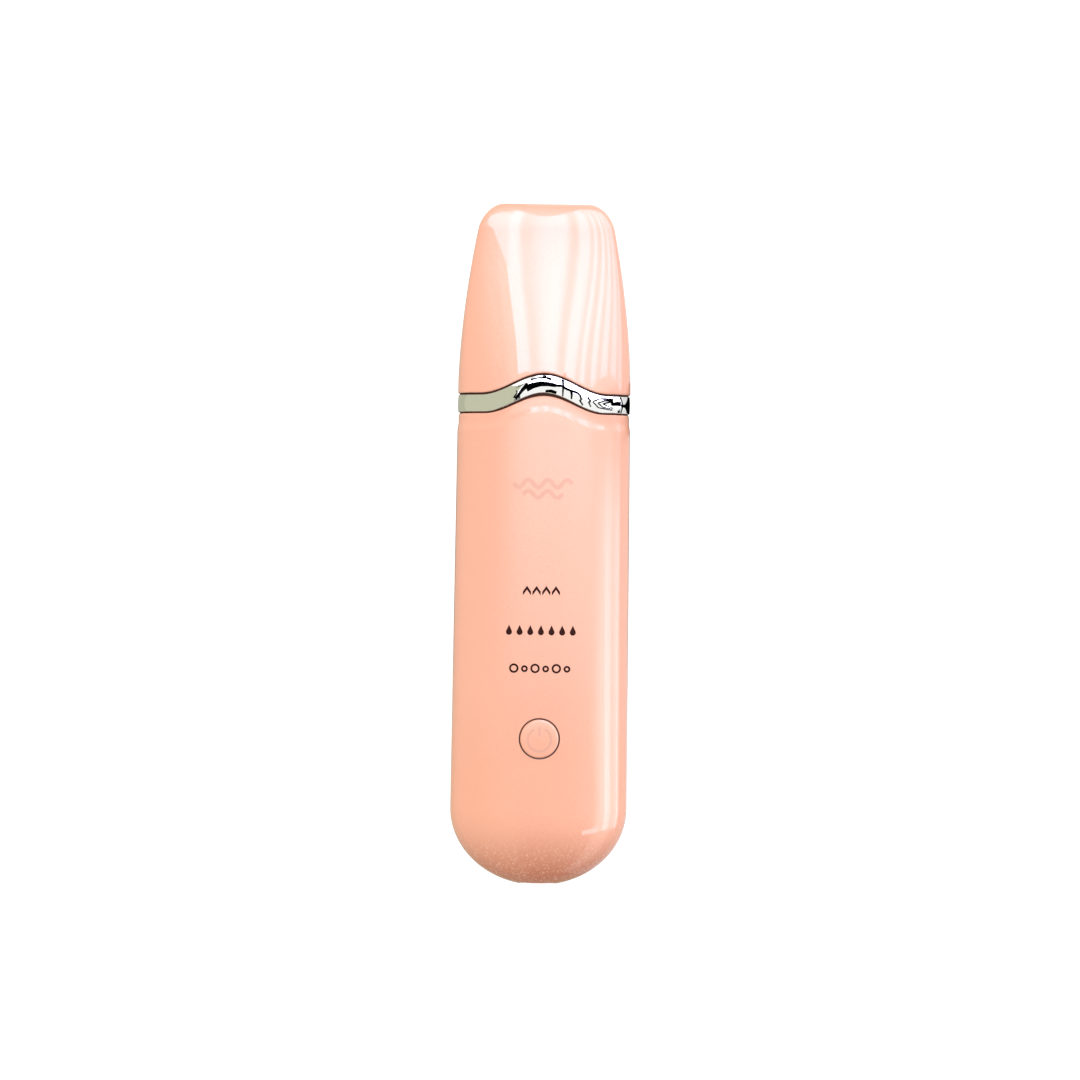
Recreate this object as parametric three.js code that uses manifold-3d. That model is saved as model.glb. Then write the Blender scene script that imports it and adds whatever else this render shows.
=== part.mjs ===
// Ultrasonic skin scrubber with its protective cap on.
//
// Frame: millimetres. X runs across the handle, Y along it towards the tip of the cap, and Z up out of
// the front face. The origin is in the middle of the length, under the flat back, so the scrubber lies
// on z = 0.
//
// Outside: a two-shell handle, a wavy chrome band and a slide-off cap. Inside the cap: a nose that holds
// the steel blade. Inside the handle: the ultrasonic stack on the Y axis, the circuit board with its
// button switch and lights, the flat battery under the board, and the charging socket in the butt end.

import * as THREE from "three";
import { mergeVertices } from "three/addons/utils/BufferGeometryUtils.js";
import Module from "manifold-3d";

const wasm = await Module();
wasm.setup();

// ---------------------------------------------------------------- driving dimensions

const HALF_LENGTH = 89; // half the length with the cap on
const BUTT_HALF_WIDTH = 23; // widest, where the butt end starts to round
const BAND_HALF_WIDTH = 22.45; // at the chrome band
const BUTT_ROUND = 20; // length of the elliptical butt end
const BACK_ROUND = 14; // length over which the back rises to the butt
const THICKNESS = 18.5; // back to front at the band
const BUTT_DROP = 1; // how much lower the front is where the butt starts to round
const SEAM_Z = 9; // height of the seam between the two shells
const CROWN_POWER = 2.6; // superellipse power of the front's section on the handle
const TIP_CROWN_POWER = 3.4; // the same at the cap's tip, where the front is flatter
const BACK_CORNER = 10; // width of the rounded corner of the back
const TIP_BACK_CORNER = 7;

const CAP_Y = 36; // the cap's front starts to slope down here
const CAP_SLOPE = 50; // length of that slope
const CAP_DROP = 9.5; // how far the front comes down on the way to the tip
const CAP_BACK_RISE = 2.2; // how far the back comes up on the way to the tip
const SEAM_DROP = 3.5; // how far the widest line of the section comes down on the way to the tip
const TIP_TAPER = 5.94; // narrowing of the half-width from band to tip
const TIP_TAPER_POWER = 1.757;
const TIP_ROUND = 7; // length of the tip's rounding
const TIP_CORNER = 5.5; // width of each of the tip's rounded corners

const SHELL_WALL = 1.8;
const CAP_WALL = 1.5;
const NOSE_WALL = 1.6;
const GAP = 0.3; // gap left between neighbouring pieces
const NOSE_FIT = 0.4; // clearance between the nose and the cap

const BAND_LOW_Y = 33.8; // the chrome band's edges at the sides
const BAND_HIGH_Y = 38.8;
const BAND_LOW_HUMP = { height: 4.6, reach: 15.5 }; // the wave in the middle of each edge
const BAND_HIGH_HUMP = { height: 5.2, reach: 16.5 };
const BAND_INSET = 0.1; // how far the band lies under the shells' surface
const BAND_THICK = 1.6;

const BUTTON_Y = -50.4;
const BUTTON_R = 5;
const BUTTON_HOLE_R = 5.33;
const LABEL_Y = [-12.1, -22.3, -32.2]; // the three mode labels, each lit from behind

const BOARD_Z = 8.2; // underside of the circuit board
const BOARD_THICK = 1.6;
const BOARD_TOP = BOARD_Z + BOARD_THICK;
const BOARD_HALF_WIDTH = 16;
const BOARD_TAIL_HALF_WIDTH = 9;
const BOARD_FRONT_Y = 9;
const BOARD_STEP_Y = -56;
const BOARD_END_Y = -83.5;

const SOCKET = { halfWidth: 4.47, halfHeight: 1.63, frontY: -87.6, backY: -80.3, corner: 1.2, wall: 0.35 };

const SHELL_SCREWS = [
  { name: "shell_screw_upper_left", x: -16.5, y: 16 },
  { name: "shell_screw_upper_right", x: 16.5, y: 16 },
  { name: "shell_screw_lower_left", x: -15, y: -64 },
  { name: "shell_screw_lower_right", x: 15, y: -64 },
];
const BOARD_SCREWS = [
  { name: "board_screw_upper_left", x: -13, y: 4 },
  { name: "board_screw_upper_right", x: 13, y: 4 },
  { name: "board_screw_lower", x: 0, y: -62 },
];
const SCREW_HEAD_R = 1.9;
const SCREW_HEAD_Z = 3.6; // underside of a shell screw's head, seen from the back
const SCREW_HEAD_H = 1.4;
const SCREW_SHANK_R = 0.95;
const SCREW_HOLE_R = 1.1;
const SCREW_RECESS_R = 2.3;

const STACK_Z = 9.2; // axis of the ultrasonic stack
const STACK_R = 4.5;
const STACK_BORE_R = 2;
const BLADE_Z = 6.05; // middle of the blade's thickness at its root
const BLADE_THICK = 0.8;
const BLADE_TIP_Y = 84;
const NOSE_BACK_Y = 28;
const NOSE_TAPER_Y = 42;
const NOSE_FRONT_Y = 57;
const BULKHEAD_Y = [34, 36];

const BATTERY = { x: 14, y: [-53, -5], z: [2.2, 7.6], corner: 2 };

const ROUND = 16; // sides of a small round piece

// ---------------------------------------------------------------- materials

const plastic = (color, roughness = 0.3) =>
  new THREE.MeshStandardMaterial({ color, roughness, metalness: 0 });
const metal = (color, roughness = 0.3) =>
  new THREE.MeshStandardMaterial({ color, roughness, metalness: 1 });

const PEARL = plastic(0xffc0a3, 0.2);
const CHROME = metal(0xe6e8e6, 0.05);
const NOSE_PLASTIC = plastic(0xf7efe9, 0.4);
const STEEL = metal(0xc9cbcc, 0.28);
const SILICONE = plastic(0xe4dcd6, 0.6);
const ALUMINIUM = metal(0xb9bcc0, 0.4);
const CERAMIC = plastic(0xcfc7b4, 0.5);
const BRASS = metal(0xc9a357, 0.35);
const BOARD = plastic(0x1f6b45, 0.4);
const BLACK = plastic(0x1c1c1e, 0.5);
const DIFFUSER = plastic(0xf4f1e8, 0.35);
const WHITE = plastic(0xf2efe9, 0.45);
const FERRITE = plastic(0x3a3a3d, 0.55);
const COPPER = metal(0xb4693a, 0.35);
const BATTERY_FILM = metal(0xb7bcc2, 0.35);
const FOAM = plastic(0x55565a, 0.9);
const RED = plastic(0xb3221f, 0.5);
const DARK = plastic(0x222224, 0.5);

// ---------------------------------------------------------------- three.js and manifold-3d helpers

/** A closed three.js geometry as a manifold-3d solid. */
function solidOf(geometry) {
  const bare = geometry.index ? geometry.toNonIndexed() : geometry.clone();
  bare.deleteAttribute("normal");
  bare.deleteAttribute("uv");
  const merged = mergeVertices(bare, 1e-4);
  const mesh = new wasm.Mesh({
    numProp: 3,
    vertProperties: merged.attributes.position.array,
    triVerts: new Uint32Array(merged.index.array),
  });
  return new wasm.Manifold(mesh);
}

/** A manifold-3d solid as a three.js geometry. */
function geometryOf(solid) {
  const { vertProperties, triVerts, numProp, numVert } = solid.getMesh();
  const position = new Float32Array(numVert * 3);
  for (let i = 0; i < numVert; i++) {
    position.set(vertProperties.subarray(i * numProp, i * numProp + 3), i * 3);
  }
  const geometry = new THREE.BufferGeometry();
  geometry.setAttribute("position", new THREE.BufferAttribute(position, 3));
  geometry.setIndex(new THREE.BufferAttribute(triVerts, 1));
  const flat = geometry.toNonIndexed();
  flat.computeVertexNormals();
  return flat;
}

const unite = (...solids) => solids.reduce((a, b) => a.add(b));
const cut = (from, ...tools) => tools.reduce((a, b) => a.subtract(b), from);

function box([x0, x1], [y0, y1], [z0, z1]) {
  const geometry = new THREE.BoxGeometry(x1 - x0, y1 - y0, z1 - z0);
  geometry.translate((x0 + x1) / 2, (y0 + y1) / 2, (z0 + z1) / 2);
  return solidOf(geometry);
}

/** A solid of revolution about the Z axis through (x, y). Profile: [radius, z] pairs from bottom to top. */
function turnedUp(profile, x = 0, y = 0, sides = ROUND) {
  const geometry = new THREE.LatheGeometry(profile.map(([r, h]) => new THREE.Vector2(r, h)), sides);
  geometry.rotateX(Math.PI / 2);
  geometry.translate(x, y, 0);
  return solidOf(geometry);
}

/** A solid of revolution about a Y axis at (x, z). Profile: [radius, y] pairs from the butt to the tip. */
function turnedAlong(profile, x = 0, z = STACK_Z, sides = ROUND) {
  const geometry = new THREE.LatheGeometry(profile.map(([r, h]) => new THREE.Vector2(r, h)), sides);
  geometry.translate(x, 0, z);
  return solidOf(geometry);
}

const postUp = (r, [z0, z1], x, y, sides) => turnedUp([[0, z0], [r, z0], [r, z1], [0, z1]], x, y, sides);
const rodAlong = (r, [y0, y1], x, z, sides) =>
  turnedAlong([[0, y0], [r, y0], [r, y1], [0, y1]], x, z, sides);

/** A plan outline in X and Y, extruded from z0 to z1. */
function plate(outline, [z0, z1], holes = []) {
  const isShape = outline instanceof THREE.Shape;
  const shape = isShape ? outline : new THREE.Shape(outline.map(([x, y]) => new THREE.Vector2(x, y)));
  shape.holes.push(...holes);
  const options = { depth: z1 - z0, bevelEnabled: false, curveSegments: 5 };
  const geometry = new THREE.ExtrudeGeometry(shape, options);
  geometry.translate(0, 0, z0);
  return solidOf(geometry);
}

/** A side outline in Y and Z, extruded across X. */
function sidePlate(outline, [x0, x1]) {
  const shape = new THREE.Shape(outline.map(([y, z]) => new THREE.Vector2(y, z)));
  const geometry = new THREE.ExtrudeGeometry(shape, { depth: x1 - x0, bevelEnabled: false });
  geometry.translate(0, 0, x0);
  const turn = new THREE.Matrix4().makeBasis(
    new THREE.Vector3(0, 1, 0),
    new THREE.Vector3(0, 0, 1),
    new THREE.Vector3(1, 0, 0),
  );
  geometry.applyMatrix4(turn);
  return solidOf(geometry);
}

/** A rectangle with rounded corners, centred on (cx, cy). */
function roundedRect(halfX, halfY, corner, cx = 0, cy = 0, Kind = THREE.Shape) {
  const shape = new Kind();
  const quarter = Math.PI / 2;
  const corners = [
    [cx + halfX - corner, cy - halfY + corner, -quarter],
    [cx + halfX - corner, cy + halfY - corner, 0],
    [cx - halfX + corner, cy + halfY - corner, quarter],
    [cx - halfX + corner, cy - halfY + corner, 2 * quarter],
  ];
  corners.forEach(([x, y, from]) => shape.absarc(x, y, corner, from, from + quarter, false));
  shape.closePath();
  return shape;
}

/** A rounded rectangle in X and Z, extruded along Y. */
function roundedBar(halfX, halfZ, corner, [y0, y1], cx = 0, cz = 0) {
  const shape = roundedRect(halfX, halfZ, corner, -cx, cz);
  const options = { depth: y1 - y0, bevelEnabled: false, curveSegments: 3 };
  const geometry = new THREE.ExtrudeGeometry(shape, options);
  const turn = new THREE.Matrix4().makeBasis(
    new THREE.Vector3(-1, 0, 0),
    new THREE.Vector3(0, 0, 1),
    new THREE.Vector3(0, 1, 0),
  );
  geometry.applyMatrix4(turn);
  geometry.translate(0, y0, 0);
  return solidOf(geometry);
}

/** A wire of the given diameter along a smooth curve through the points. */
function wire(points, diameter, steps = 14) {
  const section = new THREE.Shape();
  section.absarc(0, 0, diameter / 2, 0, 2 * Math.PI, false);
  const path = new THREE.CatmullRomCurve3(points.map((p) => new THREE.Vector3(...p)));
  const options = { steps, extrudePath: path, curveSegments: 4, bevelEnabled: false };
  return new THREE.ExtrudeGeometry(section, options);
}

/** A closed solid through rings of points in order along Y. Each ring runs from +X over the top. */
function loft(rings) {
  const count = rings[0].length;
  const middle = (ring) => ring.reduce((sum, p) => sum.add(p), new THREE.Vector3()).divideScalar(count);
  const points = [...rings.flat(), middle(rings[0]), middle(rings[rings.length - 1])];
  const index = [];
  for (let j = 0; j < count; j++) {
    const next = (j + 1) % count;
    for (let i = 0; i + 1 < rings.length; i++) {
      const [a, b] = [i * count + j, i * count + next];
      const [c, d] = [b + count, a + count];
      index.push(a, d, c, a, c, b);
    }
    const last = (rings.length - 1) * count;
    index.push(points.length - 2, j, next);
    index.push(points.length - 1, last + next, last + j);
  }
  const geometry = new THREE.BufferGeometry().setFromPoints(points);
  geometry.setIndex(index);
  return solidOf(geometry);
}

// ---------------------------------------------------------------- the outer form

const TOP_STEPS = 16; // sides of a section's crowned front
const CORNER_STEPS = 4; // sides of each of its back corners
const BUTT_Y = BUTT_ROUND - HALF_LENGTH; // the butt end starts to round here
const BACK_Y = BACK_ROUND - HALF_LENGTH; // the back starts to rise here
const TIP_Y = HALF_LENGTH - TIP_ROUND; // the tip starts to round here

const clamp01 = (t) => Math.min(1, Math.max(0, t));
const ease = (t) => clamp01(t) ** 2 * (3 - 2 * clamp01(t));
const mix = (a, b, t) => a + (b - a) * t;
const quarterEllipse = (t) => Math.sqrt(1 - clamp01(t) ** 2);

/** The form's half-width at y, moved in by inset. */
function halfWidth(y, inset) {
  const butt = quarterEllipse((BUTT_Y - y) / (BUTT_ROUND - inset));
  const handle = mix(BUTT_HALF_WIDTH, BAND_HALF_WIDTH, clamp01((y - BUTT_Y) / (BAND_HIGH_Y - BUTT_Y)));
  const taper = TIP_TAPER * clamp01((y - 40) / (HALF_LENGTH - 40)) ** TIP_TAPER_POWER;
  const tip = quarterEllipse((y - TIP_Y) / (TIP_ROUND - inset));
  return (handle - taper - inset) * butt - TIP_CORNER * (1 - tip);
}

/** Height of the section's widest line. */
const seamHeight = (y) => SEAM_Z - SEAM_DROP * ease((y - CAP_Y) / (HALF_LENGTH - CAP_Y));

/** Height of the front above that line, and of that line above the back, moved in by inset. */
function heights(y, inset) {
  const seam = seamHeight(y);
  const arch = BUTT_DROP * clamp01((20 - y) / HALF_LENGTH) ** 2;
  const front = THICKNESS - arch - CAP_DROP * ease((y - CAP_Y) / CAP_SLOPE) - seam;
  const back = seam - CAP_BACK_RISE * ease((y - CAP_Y - 2) / 48);
  const tip = quarterEllipse((y - TIP_Y) / (TIP_ROUND - inset));
  const buttFront = quarterEllipse((BUTT_Y - y) / (BUTT_ROUND - inset));
  const buttBack = quarterEllipse((BACK_Y - y) / (BACK_ROUND - inset));
  return { seam, front: (front - inset) * buttFront * tip, back: (back - inset) * buttBack * tip };
}

/** The closed section at y, as points from +X over the front to -X and back along the underside. */
function section(y, inset) {
  const a = halfWidth(y, inset);
  const { seam, front, back } = heights(y, inset);
  const towardsTip = ease((y - 40) / 45);
  const power = 2 / mix(CROWN_POWER, TIP_CROWN_POWER, towardsTip);
  const corner = Math.min(mix(BACK_CORNER, TIP_BACK_CORNER, towardsTip), a * 0.45);
  const ring = [];
  for (let i = 0; i <= TOP_STEPS; i++) {
    const angle = (Math.PI * i) / TOP_STEPS;
    const [c, s] = [Math.cos(angle), Math.sin(angle)];
    ring.push([Math.sign(c) * a * Math.abs(c) ** power, seam + front * Math.abs(s) ** power]);
  }
  for (let i = 1; i <= CORNER_STEPS; i++) {
    const angle = (Math.PI / 2) * (i / CORNER_STEPS);
    ring.push([-(a - corner) - corner * Math.cos(angle), seam - back * Math.sin(angle)]);
  }
  for (let i = CORNER_STEPS; i >= 1; i--) {
    const angle = (Math.PI / 2) * (i / CORNER_STEPS);
    ring.push([a - corner + corner * Math.cos(angle), seam - back * Math.sin(angle)]);
  }
  return ring.map(([x, z]) => new THREE.Vector3(x, y, z));
}

const NEARLY_ONE = 0.9995; // how far round a rounded end its last ring lies

/** Stations along Y through the rounded butt, from its end forwards. */
function buttStations(inset, steps = 7) {
  const places = Array.from({ length: steps }, (_, i) => Math.cos((Math.PI / 2) * (i / steps)));
  places[0] = NEARLY_ONE;
  return places.map((t) => BUTT_Y - t * (BUTT_ROUND - inset));
}

/** Stations along Y through the rounded tip, up to its end. */
function tipStations(inset, steps = 4) {
  const places = Array.from({ length: steps }, (_, i) => Math.sin((Math.PI / 2) * ((i + 1) / steps)));
  places[steps - 1] = NEARLY_ONE;
  return places.map((t) => TIP_Y + t * (TIP_ROUND - inset));
}

const HANDLE_STATIONS = [BUTT_Y, -40, -10, 20, CAP_Y, 40, 43, 46];
const CAP_STATIONS = [30, CAP_Y, 40, 43, 46, 51, 56, 61, 66, 71, 76, TIP_Y];

const handleForm = (inset) =>
  loft([...buttStations(inset), ...HANDLE_STATIONS].map((y) => section(y, inset)));
const capForm = (inset) => loft([...CAP_STATIONS, ...tipStations(inset)].map((y) => section(y, inset)));

// ---------------------------------------------------------------- the wave of the chrome band

const FAR = 40; // past every face of the object
const WAVE_STEPS = 14;

/** Points of one edge of the band in plan, from -X to +X, moved along Y by shift. */
function bandEdge(baseY, { height, reach }, shift) {
  const points = [[-FAR, baseY + shift]];
  for (let i = 0; i <= WAVE_STEPS; i++) {
    const x = mix(-reach, reach, i / WAVE_STEPS);
    points.push([x, baseY + shift + (height / 2) * (1 + Math.cos((Math.PI * x) / reach))]);
  }
  points.push([FAR, baseY + shift]);
  return points;
}

const lowEdge = (shift) => bandEdge(BAND_LOW_Y, BAND_LOW_HUMP, shift);
const highEdge = (shift) => bandEdge(BAND_HIGH_Y, BAND_HIGH_HUMP, shift);

const BEHIND_BAND = plate([[FAR, -100], ...lowEdge(-GAP / 2).reverse(), [-FAR, -100]], [-5, 30]);
const BAND_REGION = plate([...lowEdge(GAP / 2), ...highEdge(-GAP / 2).reverse()], [-5, 30]);
const PAST_BAND = plate([...highEdge(GAP / 2), [FAR, 100], [-FAR, 100]], [-5, 30]);

// ---------------------------------------------------------------- the handle's shells

const ABOVE_SEAM = box([-FAR, FAR], [-100, 60], [SEAM_Z + GAP / 2, 30]);
const BELOW_SEAM = box([-FAR, FAR], [-100, 60], [-5, SEAM_Z - GAP / 2]);
const TONGUE_H = 1.2; // the rear shell's tongue stands this far above the seam
const TONGUE_OUT = 1.15; // the tongue's outer face, measured in from the outside
const GROOVE_OUT = TONGUE_OUT - GAP;

const handleOuter = handleForm(0);
const handleInner = handleForm(SHELL_WALL);
const handleWall = handleOuter.subtract(handleInner).intersect(BEHIND_BAND);
const bossLimit = handleForm(0.9); // bosses end inside the wall

/** The charging socket's mouth, cut through both shells. */
const socketMouth = roundedBar(SOCKET.halfWidth + 0.5, SOCKET.halfHeight + 0.4, 1.9, [-92, -84], 0, SEAM_Z);

/** The front shell: screw bosses, board posts, the button's guide, and thin places behind the labels. */
function frontShell() {
  const bosses = SHELL_SCREWS.map(({ x, y }) => postUp(2.9, [BOARD_TOP + 0.1, 20], x, y));
  const posts = BOARD_SCREWS.map(({ x, y }) => postUp(2.2, [BOARD_TOP + 0.15, 20], x, y));
  const guide = postUp(6.6, [15.6, 20], 0, BUTTON_Y, 24);
  const inside = unite(...bosses, ...posts, guide).intersect(bossLimit);
  const pilots = SHELL_SCREWS.map(({ x, y }) => postUp(SCREW_HOLE_R, [8, 14.5], x, y, 12));
  const boardPilots = BOARD_SCREWS.map(({ x, y }) => postUp(SCREW_HOLE_R, [8, 14], x, y, 12));
  const belowGroove = box([-FAR, FAR], [-100, 60], [0, SEAM_Z + TONGUE_H + GAP]);
  const groove = handleForm(GROOVE_OUT).intersect(belowGroove);
  const hole = postUp(BUTTON_HOLE_R, [10, 25], 0, BUTTON_Y, 32);
  const wall = cut(handleWall.intersect(ABOVE_SEAM), groove, socketMouth);
  const pocketTop = THICKNESS - SHELL_WALL + 0.4;
  const pockets = LABEL_Y.map((y) => box([-8, 8], [y - 2, y + 2], [12, pocketTop]));
  return cut(wall.add(inside), hole, ...pilots, ...boardPilots, ...pockets);
}

/** The rear shell: the seam's tongue, bosses with recessed screw holes, the battery bay, the stack's rest. */
function rearShell() {
  const tongueForm = handleForm(TONGUE_OUT).subtract(handleInner).intersect(BEHIND_BAND);
  const tongue = tongueForm.intersect(box([-FAR, FAR], [-100, 60], [SEAM_Z - 1, SEAM_Z + TONGUE_H]));
  const bosses = SHELL_SCREWS.map(({ x, y, name }) =>
    postUp(3.3, [0.5, name.includes("upper") ? BOARD_Z - 0.15 : BOARD_TOP - 0.1], x, y));
  const recessTop = SCREW_HEAD_Z + SCREW_HEAD_H + 0.1;
  const recesses = SHELL_SCREWS.map(({ x, y }) => postUp(SCREW_RECESS_R, [-1, recessTop], x, y));
  const holes = SHELL_SCREWS.map(({ x, y }) => postUp(SCREW_HOLE_R, [0, 12], x, y, 12));
  const { x: bx, y: by } = BATTERY;
  const ribs = [-1, 1].map((side) => {
    const inner = side * (bx + 0.4);
    const outer = side * (bx + 1.6);
    return box([Math.min(inner, outer), Math.max(inner, outer)], by, [1, 6]);
  });
  const rearStop = box([-8, 8], [by[0] - 1.6, by[0] - 0.4], [1, 5]);
  const frontStop = box([1, 11], [by[1] + 0.4, by[1] + 1.6], [1, 5]);
  const cradle = box([-7, 7], [17.5, 19.5], [1, 7.5]).subtract(rodAlong(STACK_R + 0.35, [10, 25]));
  const inside = unite(...bosses, ...ribs, rearStop, frontStop, cradle).intersect(bossLimit);
  const wall = handleWall.intersect(BELOW_SEAM).add(tongue);
  return cut(wall.add(inside), ...recesses, ...holes, socketMouth);
}

// ---------------------------------------------------------------- band and cap

function chromeBand() {
  const ring = handleForm(BAND_INSET).subtract(handleForm(BAND_INSET + BAND_THICK));
  return ring.intersect(BAND_REGION);
}

function protectiveCap() {
  return capForm(0).subtract(capForm(CAP_WALL)).intersect(PAST_BAND);
}

// ---------------------------------------------------------------- the nose

/** The nose's section at y: the cap's inside with its clearance, and a steeper taper in front. */
function noseSection(y, inset) {
  const u = clamp01((y - NOSE_TAPER_Y) / (NOSE_FRONT_Y - NOSE_TAPER_Y));
  const base = section(y, CAP_WALL + NOSE_FIT + inset);
  const seam = seamHeight(y);
  const narrower = (2.6 * u ** 2) / halfWidth(y, 0);
  const { front, back } = heights(y, 0);
  const lowerFront = (3.6 * u ** 1.6) / front;
  const higherBack = (0.8 * u ** 1.6) / back;
  return base.map((p) => {
    const squeeze = p.z > seam ? lowerFront : higherBack;
    return new THREE.Vector3(p.x * (1 - narrower), y, seam + (p.z - seam) * (1 - squeeze));
  });
}

function noseForm(inset, from, to) {
  const stations = [from, 36, 40, 44, 48, 52, 55].filter((y, i) => i === 0 || (y > from && y < to));
  return loft([...stations, to].map((y) => noseSection(y, inset)));
}

/** The nose: a sleeve inside the band and shells, a bulkhead for the stack, and a slotted front. */
function noseHousing() {
  const sleeveOut = SHELL_WALL + 0.35 - CAP_WALL - NOSE_FIT;
  const sleeveBore = noseForm(sleeveOut + NOSE_WALL, NOSE_BACK_Y - 1, 41);
  const sleeve = noseForm(sleeveOut, NOSE_BACK_Y, 40).subtract(sleeveBore);
  const nose = noseForm(0, 39.5, NOSE_FRONT_Y).subtract(noseForm(NOSE_WALL, 39, NOSE_FRONT_Y - NOSE_WALL));
  const bulkhead = noseForm(sleeveOut + 0.5, BULKHEAD_Y[0], BULKHEAD_Y[1]);
  const waist = box([-8.4, 8.4], [30, 40], [6.2, 12.8]).add(rodAlong(4.4, [30, 40], 0, STACK_Z));
  const slot = box([-13.5, 13.5], [50, 60], [4.6, 7.4]);
  const screwBosses = [-1, 1].map((side) => rodAlong(2, [31.3, 35], side * 12.6, STACK_Z));
  const pilots = [-1, 1].map((side) => rodAlong(1.05, [30, 35.6], side * 12.6, STACK_Z, 12));
  const earOutline = [[13.4, 12.8], [19.4, 12.8], [19.4, 30], [15.4, 30], [15.4, 19], [13.4, 19]];
  const ear = plate(earOutline, [BOARD_Z, BOARD_TOP - 0.05]);
  const ears = [ear, ear.mirror([1, 0, 0])];
  const earHoles = SHELL_SCREWS.slice(0, 2).map(({ x, y }) => postUp(SCREW_HOLE_R, [7, 11], x, y, 12));
  const springWindow = box([16.6, 24], [33.5, 38.4], [8.3, 11.5]);
  const solid = unite(sleeve, nose, bulkhead.subtract(waist), ...screwBosses, ...ears);
  return cut(solid, ...pilots, ...earHoles, slot, springWindow);
}

// ---------------------------------------------------------------- the blade and its seal

/** Height of the middle of the blade at y: a shallow spoon that comes back up at the tip. */
function bladeHeight(y) {
  return BLADE_Z - 0.85 * ease((y - 59) / 12) + 1.1 * ease((y - 72) / 14);
}

/** Half-width of the blade at y: narrow at the root, flared, with rounded corners at the working edge. */
function bladeHalfWidth(y) {
  const flare = mix(8, 10, ease((y - 50) / 8)) + 2.6 * ease((y - 58) / 24);
  const corner = 3;
  return flare - corner * (1 - quarterEllipse((y - (BLADE_TIP_Y - corner)) / corner));
}

function blade() {
  const stations = [40.5, 50, 52.7, 55.3, 58, 62, 65, 68, 71, 74, 77, 79, BLADE_TIP_Y - 3];
  stations.push(...[0.5, 0.8, 0.95, 0.999].map((t) => BLADE_TIP_Y - 3 + 3 * t));
  const rings = stations.map((y) => {
    const [a, z] = [bladeHalfWidth(y), bladeHeight(y)];
    const t = (BLADE_THICK / 2) * (1 - 0.6 * ease((y - (BLADE_TIP_Y - 5)) / 5));
    const xs = [a, a * 0.4, -a * 0.4, -a];
    const over = xs.map((x) => new THREE.Vector3(x, y, z + t));
    const under = xs.reverse().map((x) => new THREE.Vector3(x, y, z - t));
    return [...over, ...under];
  });
  const holes = [-5, 5].map((x) => postUp(1.15, [4, 8], x, 46.5, 12));
  return cut(loft(rings), ...holes);
}

function bladeSeal() {
  const plug = roundedBar(13.3, 1.22, 1.1, [54.2, 57.4], 0, 6);
  const lip = roundedBar(14.3, 1.9, 1.6, [NOSE_FRONT_Y + 0.15, 58.3], 0, 6);
  const slitHalf = BLADE_THICK / 2 + 0.15;
  const slit = box([-10.4, 10.4], [50, 60], [BLADE_Z - slitHalf, BLADE_Z + slitHalf]);
  return plug.add(lip).subtract(slit);
}

// ---------------------------------------------------------------- the ultrasonic stack

const HORN_Y = { back: 28.5, flange: [31.2, 33.2], neckEnd: 39, end: 52 };

function horn() {
  const turned = turnedAlong([
    [0, HORN_Y.back],
    [STACK_R, HORN_Y.back],
    [STACK_R, HORN_Y.flange[0]],
    [5.2, HORN_Y.flange[0]],
    [5.2, HORN_Y.flange[1]],
    [4, HORN_Y.flange[1]],
    [4, HORN_Y.neckEnd],
    [0, HORN_Y.neckEnd],
  ]);
  const rootTop = BLADE_Z + BLADE_THICK / 2 + 0.1;
  const side = [[37.5, rootTop], [HORN_Y.end, rootTop], [HORN_Y.end, 8.3], [40, 12.4], [37.5, 12.4]];
  const tongue = sidePlate(side, [-8, 8]);
  const boltHole = rodAlong(STACK_BORE_R, [25, 30.8], 0, STACK_Z, 16);
  const screwHoles = [-5, 5].map((x) => postUp(1, [5, 8.6], x, 46.5, 12));
  return cut(turned.add(tongue), boltHole, ...screwHoles);
}

/** A washer-shaped piece of the stack. */
function stackRing(r, [y0, y1], bore = STACK_BORE_R) {
  return turnedAlong([[bore, y0], [r, y0], [r, y1], [bore, y1], [bore, y0]]);
}

function electrode(y0, tabX) {
  const rim = STACK_Z + STACK_R;
  const tab = box([tabX - 0.9, tabX + 0.9], [y0, y0 + 0.25], [rim - 1, rim + 1.6]);
  return stackRing(STACK_R, [y0, y0 + 0.25]).add(tab);
}

/** A socket-head bolt along Y: its head at the butt end. */
function stackBolt() {
  const profile = [[0, 11], [2.9, 11], [2.9, 13.9], [1.75, 13.9], [1.75, 30.4], [0, 30.4]];
  const solid = turnedAlong(profile, 0, STACK_Z, 18);
  const hex = rodAlong(1.5, [10, 12.8], 0, STACK_Z, 6);
  return solid.subtract(hex);
}

/** The plate that presses the horn's flange against the bulkhead. */
function transducerClamp() {
  const ears = roundedBar(14.8, 2.3, 2, [29.6, 31.1], 0, STACK_Z);
  const disc = rodAlong(5.2, [29.6, 31.1], 0, STACK_Z, 28).add(ears);
  const holes = [-1, 1].map((side) => rodAlong(1.15, [28, 32], side * 12.6, STACK_Z, 12));
  return cut(disc, rodAlong(STACK_R + 0.2, [28, 32], 0, STACK_Z, 28), ...holes);
}

/** A small pan-head screw along +Z with its head at z = 0, drawn about the Z axis. */
function panScrew(headR, headH, shankR, length) {
  const profile = [[0, 0], [headR * 0.8, 0], [headR, headH * 0.4], [headR, headH], [shankR, headH]];
  const solid = turnedUp([...profile, [shankR, headH + length], [0, headH + length]], 0, 0, 12);
  const arm = headR * 0.62;
  const arms = [[arm, 0.24], [0.24, arm]];
  const cross = arms.map(([hx, hy]) => box([-hx, hx], [-hy, hy], [-0.5, headH * 0.55]));
  return cut(solid, ...cross);
}

// ---------------------------------------------------------------- board and electronics

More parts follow.
